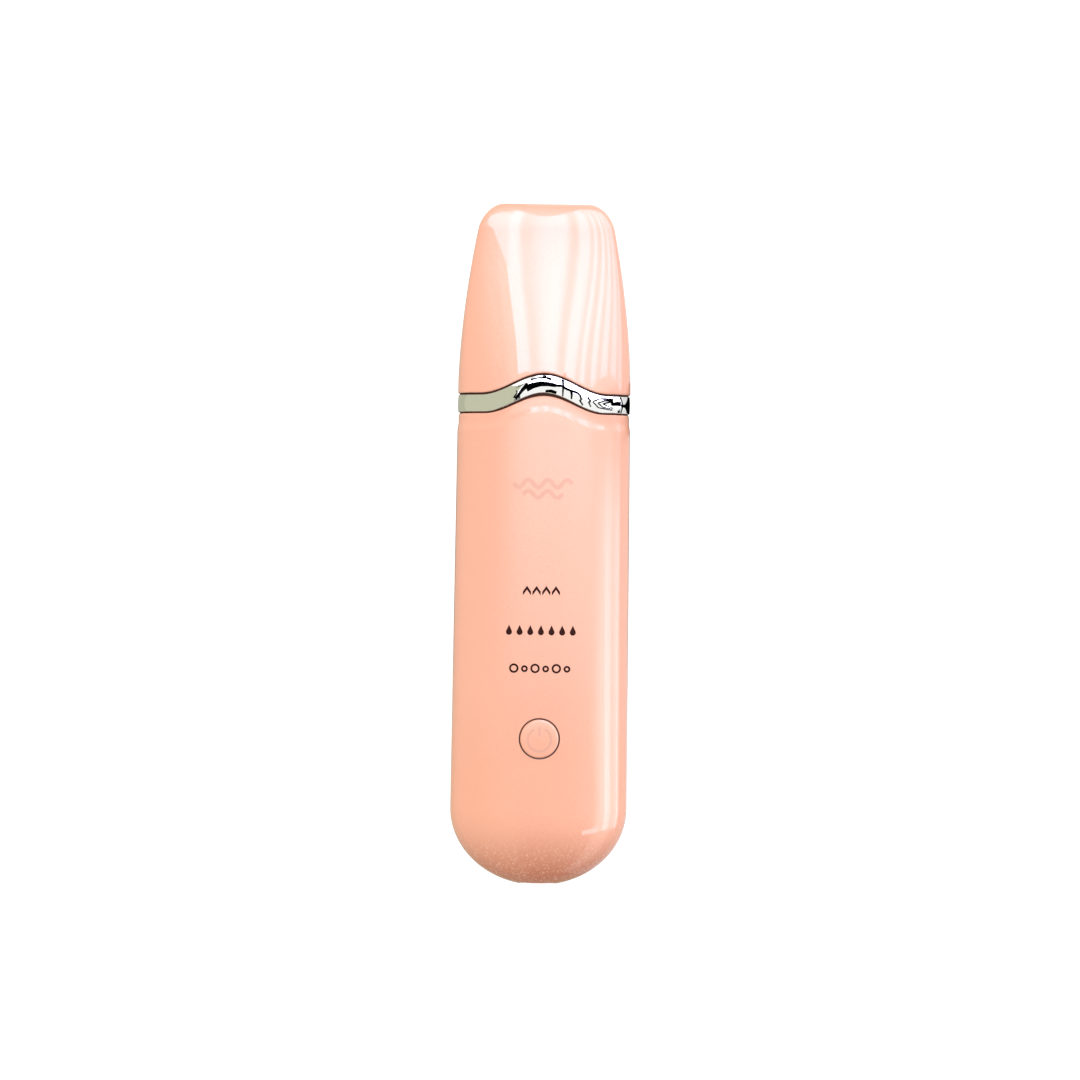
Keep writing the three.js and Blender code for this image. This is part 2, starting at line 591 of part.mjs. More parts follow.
function board() {
  const [w, t] = [BOARD_HALF_WIDTH, BOARD_TAIL_HALF_WIDTH];
  const notch = SOCKET.halfWidth + 0.25;
  const outline = [
    [-t, BOARD_END_Y], [-notch, BOARD_END_Y], [-notch, SOCKET.backY + 0.3], [notch, SOCKET.backY + 0.3],
    [notch, BOARD_END_Y], [t, BOARD_END_Y], [t, BOARD_STEP_Y - 3], [w - 1, BOARD_STEP_Y],
    [w, BOARD_STEP_Y + 2], [w, BOARD_FRONT_Y], [-w, BOARD_FRONT_Y], [-w, BOARD_STEP_Y + 2],
    [1 - w, BOARD_STEP_Y], [-t, BOARD_STEP_Y - 3],
  ];
  const holes = BOARD_SCREWS.map(({ x, y }) => new THREE.Path().absarc(x, y, 1.2, 0, 2 * Math.PI, true));
  return plate(outline, [BOARD_Z, BOARD_TOP], holes);
}

const ON_BOARD = BOARD_TOP + 0.05; // underside of what is soldered on top

function usbSocket() {
  const { halfWidth: w, halfHeight: h, corner, wall, frontY, backY } = SOCKET;
  const outer = roundedBar(w, h, corner, [frontY, backY], 0, SEAM_Z);
  const inner = roundedBar(w - wall, h - wall, corner - wall, [frontY - 1, backY - 0.8], 0, SEAM_Z);
  return outer.subtract(inner);
}

function tactSwitch() {
  const base = box([-3, 3], [BUTTON_Y - 3, BUTTON_Y + 3], [ON_BOARD, ON_BOARD + 3.3]);
  return base.subtract(postUp(2, [ON_BOARD + 1.4, 20], 0, BUTTON_Y, 18));
}

const PLUNGER_TOP = ON_BOARD + 4.2;
const plunger = () => postUp(1.75, [ON_BOARD + 1.95, PLUNGER_TOP], 0, BUTTON_Y, 18);

/** The button: a domed face, a flange that keeps it in, and a stem over the switch's plunger. */
function powerButton() {
  const front = heights(BUTTON_Y, 0);
  const face = front.seam + front.front - 0.05;
  const profile = [[0, PLUNGER_TOP + 0.1], [1.6, PLUNGER_TOP + 0.1], [1.6, 14.6], [6, 14.6], [6, 15.3]];
  profile.push([BUTTON_R, 15.3], [BUTTON_R, face - 0.5]);
  profile.push([BUTTON_R - 0.45, face - 0.12], [3, face], [0, face + 0.03]);
  return turnedUp(profile, 0, BUTTON_Y, 28);
}

/** The black frame that keeps each label's light to itself. */
function lightShroud() {
  const [y0, y1] = [LABEL_Y[2] - 4, LABEL_Y[0] + 4];
  const frame = box([-9, 9], [y0, y1], [ON_BOARD, 15.1]);
  const wells = LABEL_Y.map((y) => box([-7.6, 7.6], [y - 3, y + 3], [5, 20]));
  return cut(frame, ...wells);
}

const lightDiffuser = () => box([-9, 9], [LABEL_Y[2] - 4, LABEL_Y[0] + 4], [15.2, 15.8]);
const led = (y) => box([-1.6, 1.6], [y - 0.8, y + 0.8], [ON_BOARD, ON_BOARD + 0.9]);

/** A ferrite core with two windows around its middle leg. */
function transformerCore() {
  const block = box([-6, 6], [-5.5, 5.5], [ON_BOARD, ON_BOARD + 5]);
  const windows = [-1, 1].map((side) => {
    const [x0, x1] = side < 0 ? [-4.4, -2] : [2, 4.4];
    return box([x0, x1], [-10, 10], [ON_BOARD + 1.2, ON_BOARD + 3.8]);
  });
  return cut(block, ...windows);
}

/** The winding round the core's middle leg. */
function transformerWinding() {
  const coil = box([-4.1, 4.1], [-7, 7], [ON_BOARD + 1.4, ON_BOARD + 3.6]);
  return coil.subtract(box([-2.25, 2.25], [-5.8, 5.8], [0, 20]));
}

/** The pouch cell with the lower ledge that carries its protection board. */
function batteryCell() {
  const { x, y, z, corner } = BATTERY;
  const bodyEnd = y[1] - 2;
  return unite(
    roundedBar(x, (z[1] - z[0]) / 2, corner, [y[0], bodyEnd], 0, (z[0] + z[1]) / 2),
    box([-x + 1.5, x - 1.5], [bodyEnd - 0.5, y[1]], [z[0] + 1.6, z[1] - 1.6]),
  );
}

// ---------------------------------------------------------------- the assembly

const scrubber = new THREE.Group();

/** Adds one named piece. A shape is a manifold-3d solid or a three.js geometry. */
function add(name, shape, material, position = [0, 0, 0], rotation = [0, 0, 0]) {
  const geometry = shape.isBufferGeometry ? shape : geometryOf(shape);
  const mesh = new THREE.Mesh(geometry, material);
  mesh.name = name;
  mesh.position.set(...position);
  mesh.rotation.set(...rotation);
  scrubber.add(mesh);
}

// Outside
add("front_shell", frontShell(), PEARL);
add("rear_shell", rearShell(), PEARL);
add("chrome_band", chromeBand(), CHROME);
add("protective_cap", protectiveCap(), PEARL);
add("power_button", powerButton(), PEARL);

// Blade end
add("nose_housing", noseHousing(), NOSE_PLASTIC);
add("blade", blade(), STEEL);
add("blade_seal", bladeSeal(), SILICONE);
for (const [name, x] of [["blade_screw_left", -5], ["blade_screw_right", 5]]) {
  add(name, panScrew(1.5, 1.1, 0.85, 2.7), STEEL, [x, 46.5, BLADE_Z - BLADE_THICK / 2 - 1.2]);
}

// Ultrasonic stack, from the tip backwards
add("horn", horn(), ALUMINIUM);
add("isolator_ring", stackRing(5.2, [33.3, 33.9], 4.15), SILICONE);
add("transducer_clamp", transducerClamp(), NOSE_PLASTIC);
for (const [name, x] of [["clamp_screw_left", -12.6], ["clamp_screw_right", 12.6]]) {
  add(name, panScrew(1.7, 1.2, 0.9, 5.6), STEEL, [x, 28.3, STACK_Z], [-Math.PI / 2, 0, 0]);
}
add("piezo_ring_front", stackRing(STACK_R, [26.25, 28.4]), CERAMIC);
add("electrode_front", electrode(25.9, 1.6), BRASS);
add("piezo_ring_rear", stackRing(STACK_R, [23.65, 25.8]), CERAMIC);
add("electrode_rear", electrode(23.3, -1.6), BRASS);
add("rear_mass", stackRing(STACK_R, [14, 23.2]), STEEL);
add("stack_bolt", stackBolt(), STEEL);

// Board
add("main_board", board(), BOARD);
add("tact_switch", tactSwitch(), BLACK);
add("switch_plunger", plunger(), BLACK);
LABEL_Y.forEach((y, i) => add(`indicator_led_${i + 1}`, led(y), WHITE));
add("light_shroud", lightShroud(), BLACK);
add("light_diffuser", lightDiffuser(), DIFFUSER);
add("control_chip", box([-13, -7], [-46, -40], [ON_BOARD, ON_BOARD + 1.1]), BLACK);
add("driver_chip", box([-14, -10.5], [-12, -7], [ON_BOARD, ON_BOARD + 1.5]), BLACK);
add("transformer_core", transformerCore(), FERRITE);
add("transformer_winding", transformerWinding(), COPPER);
add("filter_capacitor", rodAlong(2.4, [-24, -15], 12.4, ON_BOARD + 2.45, 16), DARK);
add("charge_inductor", postUp(2.4, [ON_BOARD, ON_BOARD + 2.6], 0, -71), DARK);
add("usb_socket", usbSocket(), STEEL);
add("usb_tongue", box([-3.3, 3.3], [-86.6, SOCKET.backY - 0.85], [SEAM_Z - 0.35, SEAM_Z + 0.35]), BLACK);

// Battery and wiring
add("battery_cell", batteryCell(), BATTERY_FILM);
add("battery_pad", box([-10, 10], [-46, -14], [BATTERY.z[1] + 0.05, BOARD_Z - 0.05]), FOAM);
add("battery_header", box([-9.5, -2.5], [2.5, 7.5], [4.2, BOARD_Z - 0.05]), WHITE);
add("battery_plug", box([-9, -3], [-0.5, 2.4], [4.7, 7.4]), WHITE);
for (const [name, material, x] of [["battery_lead_red", RED, -4.9], ["battery_lead_black", DARK, -7.1]]) {
  const route = [[x, -4.6, 4.9], [x - 0.3, -3.8, 5.1], [x - 0.2, -1.9, 5.9], [x, -0.9, 6.05]];
  add(name, wire(route, 0.9, 6), material);
}
const STACK_LEADS = [
  ["transducer_lead_red", RED, 1.6, 25.6, 3.4],
  ["transducer_lead_black", DARK, -1.6, 22.9, -3.4],
];
for (const [name, material, tabX, tabY, padX] of STACK_LEADS) {
  const route = [[padX, 8.4, ON_BOARD + 0.6], [padX, 9.6, 12.2], [padX, 12, 14.4]];
  route.push([mix(padX, tabX, 0.5), 18, 14.9]);
  add(name, wire([...route, [tabX, tabY, 14.7]], 0.9, 10), material);
}
const ionRoute = [[11.6, 7.6, ON_BOARD + 0.6], [11.6, 9.4, 11.6], [11.6, 16, 12]];
ionRoute.push([12, 24, 12], [16.4, 28.6, 10.7]);
add("ion_lead", wire([...ionRoute, [17.3, 30.6, 10.6]], 0.9, 14), DARK);

// The leaf spring that touches the band from inside, bent out through a window in the nose's sleeve
const LEAF = 0.35;
const leafIn = [[17.1, 31], [17.1, 34.9], [19.5, 36.4], [17.3, 38]];
const leafOut = leafIn.map(([x, y], i) => [x + LEAF * (i === 2 ? 1.3 : 1), y]);
add("contact_spring", plate([...leafIn.reverse(), ...leafOut], [8.6, 11.2]), BRASS);

// Fasteners
for (const { name, x, y } of SHELL_SCREWS) {
  add(name, panScrew(SCREW_HEAD_R, SCREW_HEAD_H, SCREW_SHANK_R, 9), STEEL, [x, y, SCREW_HEAD_Z]);
}
for (const { name, x, y } of BOARD_SCREWS) {
  add(name, panScrew(1.8, 1.2, SCREW_SHANK_R, 5), STEEL, [x, y, BOARD_Z - 1.25]);
}

export default scrubber;
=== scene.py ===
"""Looks of the ultrasonic skin scrubber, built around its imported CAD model.

Lengths inside the shape functions are millimetres in the row frame: X across the handle, Y along it towards
the tip of the cap, Z up out of the front. new_mesh() and marks() turn them into metres.
"""

import math

import bmesh
import bpy
import numpy as np
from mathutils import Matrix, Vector


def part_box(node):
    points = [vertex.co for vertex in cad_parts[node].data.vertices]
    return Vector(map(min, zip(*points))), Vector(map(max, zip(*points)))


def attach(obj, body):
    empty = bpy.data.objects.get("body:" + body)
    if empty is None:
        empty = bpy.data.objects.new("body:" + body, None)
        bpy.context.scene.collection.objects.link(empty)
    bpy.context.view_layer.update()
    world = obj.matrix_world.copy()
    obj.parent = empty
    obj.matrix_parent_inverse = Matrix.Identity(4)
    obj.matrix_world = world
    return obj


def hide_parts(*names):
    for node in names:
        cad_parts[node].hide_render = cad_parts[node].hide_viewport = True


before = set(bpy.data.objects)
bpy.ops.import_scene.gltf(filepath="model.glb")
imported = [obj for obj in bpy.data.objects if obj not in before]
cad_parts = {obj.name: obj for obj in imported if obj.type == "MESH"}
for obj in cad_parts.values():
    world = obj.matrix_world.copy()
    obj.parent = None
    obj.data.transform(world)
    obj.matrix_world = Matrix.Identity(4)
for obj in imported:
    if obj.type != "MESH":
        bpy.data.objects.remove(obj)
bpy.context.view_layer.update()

MM = 0.001
SCENE = bpy.context.scene


def box_mm(node):
    """Lowest and highest corner of a CAD node, in millimetres."""
    low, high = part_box(node)
    return np.array(low) / MM, np.array(high) / MM


def centre_mm(node):
    low, high = box_mm(node)
    return (low + high) / 2


# ---- driving sizes, some taken from the frame

HALF_LENGTH = box_mm("protective_cap")[1][1]
THICKNESS = box_mm("front_shell")[1][2]
BUTT_HALF_WIDTH = 23.0
BAND_HALF_WIDTH = box_mm("protective_cap")[1][0]
SEAM_Z = centre_mm("usb_socket")[2]
BUTTON = centre_mm("power_button")
BUTTON_R = 5.0
BUTTON_HOLE_R = 5.33
BUTTON_SUNK = 0.05  # how far the button's face lies below the shell's front
LABEL_Y = [centre_mm(f"indicator_led_{i}")[1] for i in (1, 2, 3)]
SHELL_SCREWS = [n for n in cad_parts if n.startswith("shell_screw")]

BUTT_ROUND = 20.0
BACK_ROUND = 14.0
TIP_ROUND = 7.0
TIP_CORNER = 5.5
TIP_TAPER = 5.94
TIP_TAPER_POWER = 1.757
TAPER_Y = 40.0  # the cap narrows, and its section grows squarer, from here on
SQUARE_SPAN = 45.0
ARCH_Y = 20.0  # the front falls from here towards the butt
BUTT_DROP = 1.0
CAP_Y = 36.0
CAP_SLOPE = 50.0
CAP_DROP = 9.5
CAP_BACK_Y, CAP_BACK_SPAN = 38.0, 48.0
CAP_BACK_RISE = 2.2
SEAM_DROP = 3.5
CROWN_POWER = 2.6
TIP_CROWN_POWER = 3.4
BACK_CORNER = 10.0
TIP_BACK_CORNER = 7.0
SHELL_WALL = 1.8
CAP_WALL = 1.5
NOSE_FIT = 0.4
SEAM_GAP = 0.3
BAND_LOW_Y, BAND_LOW_HUMP = 33.8, (4.6, 15.5)
BAND_HIGH_Y, BAND_HIGH_HUMP = 38.8, (5.2, 16.5)
BAND_THICK = 1.6
FLAT_SHARE = 0.35  # share of the back's points that lie on its flat middle

BUTT_Y = BUTT_ROUND - HALF_LENGTH
BACK_Y = BACK_ROUND - HALF_LENGTH
TIP_Y = HALF_LENGTH - TIP_ROUND

# ---- the outer form


def ease(t):
    t = np.clip(t, 0, 1)
    return t * t * (3 - 2 * t)


def mix(a, b, t):
    return a + (b - a) * t


def quarter_ellipse(t):
    return np.sqrt(1 - np.clip(t, 0, 1) ** 2)


def half_width(y, inset):
    butt = quarter_ellipse((BUTT_Y - y) / (BUTT_ROUND - inset))
    along = np.clip((y - BUTT_Y) / (BAND_HIGH_Y - BUTT_Y), 0, 1)
    handle = mix(BUTT_HALF_WIDTH, BAND_HALF_WIDTH, along)
    taper = TIP_TAPER * np.clip((y - TAPER_Y) / (HALF_LENGTH - TAPER_Y), 0, 1) ** TIP_TAPER_POWER
    tip = quarter_ellipse((y - TIP_Y) / (TIP_ROUND - inset))
    return (handle - taper - inset) * butt - TIP_CORNER * (1 - tip)


def heights(y, inset):
    """The height of the widest line, and the heights of the front over it and of it over the back."""
    seam = SEAM_Z - SEAM_DROP * ease((y - CAP_Y) / (HALF_LENGTH - CAP_Y))
    arch = BUTT_DROP * np.clip((ARCH_Y - y) / HALF_LENGTH, 0, 1) ** 2
    front = THICKNESS - arch - CAP_DROP * ease((y - CAP_Y) / CAP_SLOPE) - seam
    back = seam - CAP_BACK_RISE * ease((y - CAP_BACK_Y) / CAP_BACK_SPAN)
    tip = quarter_ellipse((y - TIP_Y) / (TIP_ROUND - inset))
    butt_front = quarter_ellipse((BUTT_Y - y) / (BUTT_ROUND - inset))
    butt_back = quarter_ellipse((BACK_Y - y) / (BACK_ROUND - inset))
    return seam, (front - inset) * butt_front * tip, (back - inset) * butt_back * tip


def squareness(y):
    return ease((y - TAPER_Y) / SQUARE_SPAN)


def crown_power(y):
    return mix(CROWN_POWER, TIP_CROWN_POWER, squareness(y))


def front_xz(angle, y, inset):
    """A point of the front: angle 0 is the +X side of the widest line and pi its -X side."""
    seam, front, _ = heights(y, inset)
    power = 2 / crown_power(y)
    c, s = np.cos(angle), np.sin(angle)
    return np.sign(c) * half_width(y, inset) * np.abs(c) ** power, seam + front * np.abs(s) ** power


def back_xz(v, y, inset):
    """A point of the back: v is -1 at the -X side of the widest line and 1 at its +X side."""
    a = half_width(y, inset)
    seam, _, back = heights(y, inset)
    corner = np.minimum(mix(BACK_CORNER, TIP_BACK_CORNER, squareness(y)), a * 0.45)
    turn = np.clip((1 - np.abs(v)) / (1 - FLAT_SHARE), 0, 1) * math.pi / 2
    x_corner = a - corner + corner * np.cos(turn)
    x_flat = np.abs(v) / FLAT_SHARE * (a - corner)
    x = np.where(np.abs(v) < FLAT_SHARE, x_flat, x_corner)
    return np.sign(v) * x, seam - back * np.sin(turn)


def front_height(x, y):
    """Height of the front's surface over a place in plan."""
    a = half_width(y, 0)
    seam, front, _ = heights(y, 0)
    power = crown_power(y)
    return seam + front * np.maximum(0, 1 - (np.abs(x) / a) ** power) ** (1 / power)


def surface_normal(height, x, y, step=0.01):
    """The normals of a surface that is given by its height over a place in plan."""
    across = height(x - step, y) - height(x + step, y)
    along = height(x, y - step) - height(x, y + step)
    normal = np.stack([across, along, np.full(np.shape(across), 2 * step)], axis=-1)
    return normal / np.linalg.norm(normal, axis=-1, keepdims=True)


def wave(x, hump):
    height, reach = hump
    return np.where(np.abs(x) < reach, height / 2 * (1 + np.cos(math.pi * x / reach)), 0)


def low_edge(x):
    return BAND_LOW_Y + wave(x, BAND_LOW_HUMP)


def high_edge(x):
    return BAND_HIGH_Y + wave(x, BAND_HIGH_HUMP)


def shell_edge(x):
    return low_edge(x) - SEAM_GAP / 2


def cap_edge(x):
    return high_edge(x) + SEAM_GAP / 2


BUTTON_TOP = float(front_height(0.0, BUTTON[1]))  # height of the shell's front at the button


class Columns:
    """The columns of a grid that runs round the section: the front from +X to -X, then the back."""

    def __init__(self, front_count, back_count):
        self.front = np.linspace(0, math.pi, front_count + 1)
        self.back = np.linspace(-1, 1, back_count + 1)[1:-1]
        self.count = len(self.front) + len(self.back)

    def points(self, y, inset):
        """The ring's points. y and inset are numbers or one value per column."""
        y, inset = (np.broadcast_to(v, self.count).astype(float) for v in (y, inset))
        n = len(self.front)
        front, back = front_xz(self.front, y[:n], inset[:n]), back_xz(self.back, y[n:], inset[n:])
        x, z = np.concatenate([front, back], axis=1)
        return np.stack([x, y, z], axis=1)

    def along_edge(self, place, inset):
        """The ring whose y is place(x) in each column."""
        y = float(place(0.0))
        for _ in range(6):
            y = place(self.points(y, inset)[:, 0])
        return self.points(y, inset)


# ---- mesh helpers


def new_object(name, data):
    made = bpy.data.objects.new(name, data)
    SCENE.collection.objects.link(made)
    return made


def new_mesh(name, points, faces):
    """A new object from points in millimetres."""
    mesh = bpy.data.meshes.new(name)
    mesh.from_pydata((np.asarray(points, float) * MM).tolist(), [], [list(map(int, f)) for f in faces])
    return new_object(name, mesh)


def turn_outwards(piece, join=0.0):
    """Turns all faces outwards. Points that lie closer than join, in metres, are made one first."""
    bm = bmesh.new()
    bm.from_mesh(piece.data)
    if join:
        bmesh.ops.remove_doubles(bm, verts=bm.verts, dist=join)
        bmesh.ops.dissolve_degenerate(bm, edges=bm.edges, dist=join)
    bmesh.ops.recalc_face_normals(bm, faces=bm.faces)
    bm.to_mesh(piece.data)
    bm.free()


def smooth_by_angle(piece, degrees):
    piece.data.polygons.foreach_set("use_smooth", [True] * len(piece.data.polygons))
    piece.data.set_sharp_from_angle(angle=math.radians(degrees))


def mesh_piece(name, points, faces, smooth=35.0):
    """A closed solid from points in millimetres."""
    piece = new_mesh(name, points, faces)
    turn_outwards(piece)
    smooth_by_angle(piece, smooth)
    return piece


def joined(a, b, cols, closed=True):
    """Quads between two rows of points that start at the indices a and b."""
    pairs = [(c, (c + 1) % cols) for c in range(cols if closed else cols - 1)]
    return [(a + c, a + d, b + d, b + c) for c, d in pairs]


def ring_faces(rows, cols, start=0, closed=True):
    """Quads between rows of points that follow each other."""
    firsts = [start + row * cols for row in range(rows - 1)]
    return [quad for first in firsts for quad in joined(first, first + cols, cols, closed)]


def tube_piece(name, rings, loop=False, smooth=35.0):
    """A closed solid through rings of equal length. With loop, the last ring joins the first."""
    cols = len(rings[0])
    points = np.concatenate(rings)
    last = len(points) - cols
    ends = joined(last, 0, cols) if loop else [range(cols), range(len(points) - 1, last - 1, -1)]
    return mesh_piece(name, points, [*ring_faces(len(rings), cols), *ends], smooth)


def turned(name, profile, sides=64, smooth=35.0, centre=(0, 0)):
    """A solid of revolution about Z. profile is [radius, height] pairs that start and end on the axis."""
    x, y = centre
    turns = np.linspace(0, 2 * math.pi, sides, endpoint=False)
    rings = [np.stack([x + r * np.cos(turns), y + r * np.sin(turns), np.full(sides, h)], axis=1)
             for r, h in profile]
    points = np.concatenate([rings[0][:1], *rings[1:-1], rings[-1][:1]])
    pairs = [(c, (c + 1) % sides) for c in range(sides)]
    end = len(points) - 1
    last = end - sides
    faces = ring_faces(len(rings) - 2, sides, start=1)
    faces += [(0, 1 + d, 1 + c) for c, d in pairs]
    faces += [(end, last + c, last + d) for c, d in pairs]
    return mesh_piece(name, points, faces, smooth)


def boolean(piece, tool, operation="DIFFERENCE"):
    """Joins or cuts with another piece, and removes that piece."""
    modifier = piece.modifiers.new("cut", "BOOLEAN")
    modifier.object = tool
    modifier.operation = operation
    modifier.solver = "MANIFOLD"
    graph = bpy.context.evaluated_depsgraph_get()
    old, done = piece.data, bpy.data.meshes.new_from_object(piece.evaluated_get(graph))
    piece.modifiers.clear()
    piece.data = done
    bpy.data.meshes.remove(old)
    bpy.data.objects.remove(tool)
    return piece


def quarter_round(radius, steps):
    """(distance from the edge, how far in) along a rounded edge, from flush with the surface to the edge."""
    turns = np.linspace(0, math.pi / 2, steps + 1)
    return [(radius * (1 - math.sin(t)), radius * (1 - math.cos(t))) for t in turns]


BOX_FACES = [(0, 1, 3, 2), (4, 6, 7, 5), (0, 4, 5, 1), (2, 3, 7, 6), (0, 2, 6, 4), (1, 5, 7, 3)]


def blocks(name, *boxes):
    """Boxes as one piece, each given by its lowest and highest corner."""
    points = [(x, y, z) for (x0, y0, z0), (x1, y1, z1) in boxes
              for x in (x0, x1) for y in (y0, y1) for z in (z0, z1)]
    faces = [[8 * i + corner for corner in face] for i in range(len(boxes)) for face in BOX_FACES]
    return mesh_piece(name, points, faces)


def rounded_bar(name, half_x, half_z, corner, stations, middle_z, steps=8):
    """A bar along Y with a rounded rectangular section. stations are (y, inset) pairs."""
    rings = []
    for y, inset in stations:
        ring = []
        r = max(corner - inset, 0.02)
        for sx, sz, first in ((1, 1, 0), (-1, 1, 90), (-1, -1, 180), (1, -1, 270)):
            for angle in np.radians(np.linspace(first, first + 90, steps + 1)):
                ring.append((sx * (half_x - inset - r) + r * math.cos(angle), y,
                             middle_z + sz * (half_z - inset - r) + r * math.sin(angle)))
        rings.append(np.array(ring))
    return tube_piece(name, rings)


def bar_round(name, node, grow, corner, stations, steps=12):
    """A bar round the middle of a node's section, larger than it by grow on each side in X and in Z."""
    low, high = box_mm(node)
    half = (high - low) / 2
    middle_z = (low[2] + high[2]) / 2
    return rounded_bar(name, half[0] + grow[0], half[2] + grow[1], corner, stations, middle_z, steps)


def cad_copy(node, name):
    """A copy of a CAD node's mesh, with the points that its faces share joined up again."""
    piece = new_object(name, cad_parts[node].data.copy())
    turn_outwards(piece, join=1e-6)
    return piece


# ---- the shells of the handle

EDGE_R = 0.35  # rounding of the shells' and the cap's edges next to the band
SEAM_EDGE_R = 0.2  # rounding of the edges along the seam
ROLL_START = 4.6  # the shells step down by a soft ridge that starts this far from the band
ROLL_END = 2.0
ROLL_DEPTH = 0.28
SKIN = 1.0  # the fine outer skin goes this deep, and the CAD model's own inside starts there
OVERLAP = 0.02
GROOVE_OUT = 0.85  # how far in the groove for the seam's tongue starts
TONGUE_H = 1.2
HOLE_LOW, HOLE_HIGH = 10.0, 20.0  # the ends of the cutter for the button's hole
FORM_END_Y = 60.0  # filled forms end here, well past the shells


def roll(distance):
    """How far in the shells' surface lies at a distance from the band's edge."""
    return float(ROLL_DEPTH * ease((ROLL_START - distance) / (ROLL_START - ROLL_END)))


def handle_rows():
    """(y as a function of x, inset) for each row of the handle's surface, from the butt forwards.

    The function also takes how much further in the row is drawn, which matters round the butt.
    """
    rows = []
    for turn in np.linspace(0.004, math.pi / 2, 44):
        rows.append((lambda x, e, t=turn: BUTT_Y - (BUTT_ROUND - e) * math.cos(t) + 0 * x, 0.0))
    reach = BAND_LOW_Y - SEAM_GAP / 2 - ROLL_START - BUTT_Y
    for s in np.linspace(0, 1, 52)[1:]:
        blend = float(ease((s - 0.7) / 0.3))
        rows.append((lambda x, e, s=s, b=blend: BUTT_Y + reach * s + b * wave(x, BAND_LOW_HUMP), 0.0))
    edge_rows = [(distance, 0.0) for distance in np.linspace(ROLL_START, EDGE_R, 22)[1:]]
    for distance, inward in edge_rows + quarter_round(EDGE_R, 6)[1:]:
        rows.append((lambda x, e, d=distance: shell_edge(x) - d, roll(distance) + inward))
    return rows


def half_shell(name, front):
    """The filled outer form of one half of the handle, cut flat at the seam, with rounded edges."""
    columns = Columns(120, 84)
    n = len(columns.front)
    pick = np.arange(n) if front else np.array([n - 1, *range(n, columns.count), 0])
    side = 1 if front else -1
    cut = SEAM_Z + side * SEAM_GAP / 2
    rows = []
    for place, inset in handle_rows():
        ring = columns.along_edge(lambda x: place(x, 0), inset)[pick]
        ring[:, 2] = side * np.maximum(side * ring[:, 2], side * (cut + side * SEAM_EDGE_R))
        before, after = [], []
        for along, inward in quarter_round(SEAM_EDGE_R, 4)[1:]:
            deeper = columns.along_edge(lambda x: place(x, inward), inset + inward)
            for part, column in ((before, pick[0]), (after, pick[-1])):
                part.append([*deeper[column][:2], cut + side * along])
        rows.append(np.concatenate([before[::-1], ring, after]))
    cols = len(rows[0])
    wall = rows[-1].copy()
    wall[:, 0] = np.clip(wall[:, 0], -abs(wall[0, 0]), abs(wall[0, 0]))
    wall[1:-1, 1] = place(wall[1:-1, 0], 0)
    wall[:, 2] = cut
    start = len(rows) * cols
    last = start - cols
    faces = ring_faces(len(rows), cols, closed=False) + joined(last, start, cols, closed=False)
    for a in range(0, last - cols, cols):
        faces.append((a, a + cols, a + 2 * cols - 1, a + cols - 1))
    faces.append((last - cols, last, *range(start, start + cols), start - 1, last - 1))
    faces.append(range(cols))
    piece = mesh_piece(name, np.concatenate([*rows, wall]), faces)
    turn_outwards(piece, join=1e-7)
    return piece


def read(items, attribute, width=1, kind=float):
    """One number or one vector for each item of a mesh, as an array."""
    values = np.empty(len(items) * width, kind)
    items.foreach_get(attribute, values)
    return values.reshape(-1, width) if width > 1 else values


def keep_front_normals(piece):
    """Gives the front's surface its true normals, which the cuts through it would otherwise disturb."""
    mesh = piece.data
    vertex, totals = read(mesh.loops, "vertex_index", kind=int), read(mesh.polygons, "loop_total", kind=int)
    x, y, z = (read(mesh.vertices, "co", 3) / MM)[vertex].T
    normals = read(mesh.corner_normals, "vector", 3)
    face_normals = np.repeat(read(mesh.polygons, "normal", 3), totals, axis=0)
    true = surface_normal(front_height, x, y)
    on_surface = (np.abs(z - front_height(x, y)) < 0.03) & (z > SEAM_Z + 2.5) & (y < 28) & (y > BUTT_Y - 12)
    use = on_surface & ((true * face_normals).sum(1) > 0.96)
    normals[use] = true[use]
    mesh.normals_split_custom_set(normals.tolist())


def form(name, inset):
    """The closed outer form of the handle, moved in by an inset."""
    columns = Columns(64, 48)
    stations = [BUTT_Y - (BUTT_ROUND - inset) * math.cos(turn) for turn in np.linspace(0.01, math.pi / 2, 20)]
    stations += [*np.linspace(BUTT_Y, FORM_END_Y, 44)[1:]]
    return tube_piece(name, [columns.points(y, inset) for y in stations])


def shell_piece(node, front):
    piece = boolean(half_shell(f"{node}_fine", front), form("deep", SKIN))
    inside = boolean(cad_copy(node, "inside"), form("core", SKIN - OVERLAP), "INTERSECT")
    boolean(piece, inside, "UNION")
    if front:
        groove = boolean(form("groove", GROOVE_OUT), form("groove_in", SHELL_WALL - 0.1))
        slab = blocks("slab", ((-40, -100, 0), (40, 60, SEAM_Z + TONGUE_H + SEAM_GAP)))
        boolean(piece, boolean(groove, slab, "INTERSECT"))
        lip = [(BUTTON_HOLE_R + out, BUTTON_TOP + up)
               for out, up in ((0, -0.16), (0.03, -0.1), (0.1, -0.03), (0.16, 0.1))]
        hole = [(0, HOLE_LOW), (BUTTON_HOLE_R, HOLE_LOW), *lip, (lip[-1][0], HOLE_HIGH), (0, HOLE_HIGH)]
        boolean(piece, turned("hole", hole, 128, centre=BUTTON[:2]))
    else:
        recess = [(0, -1), (2.75, -1), (2.75, 0.0), (2.5, 0.12), (2.33, 0.35), (2.33, 5.1), (0, 5.1)]
        for screw in SHELL_SCREWS:
            boolean(piece, turned("recess", recess, 64, centre=centre_mm(screw)[:2]))
    mouth = [(-92, -0.3), (-88.9, -0.3), (-88.4, 0.0), (-84, 0.0)]
    boolean(piece, bar_round("mouth", "usb_socket", (0.5, 0.4), 1.9, mouth, steps=8))
    smooth_by_angle(piece, 30)
    if front:
        keep_front_normals(piece)
    return piece


# ---- band, gaskets, cap and button

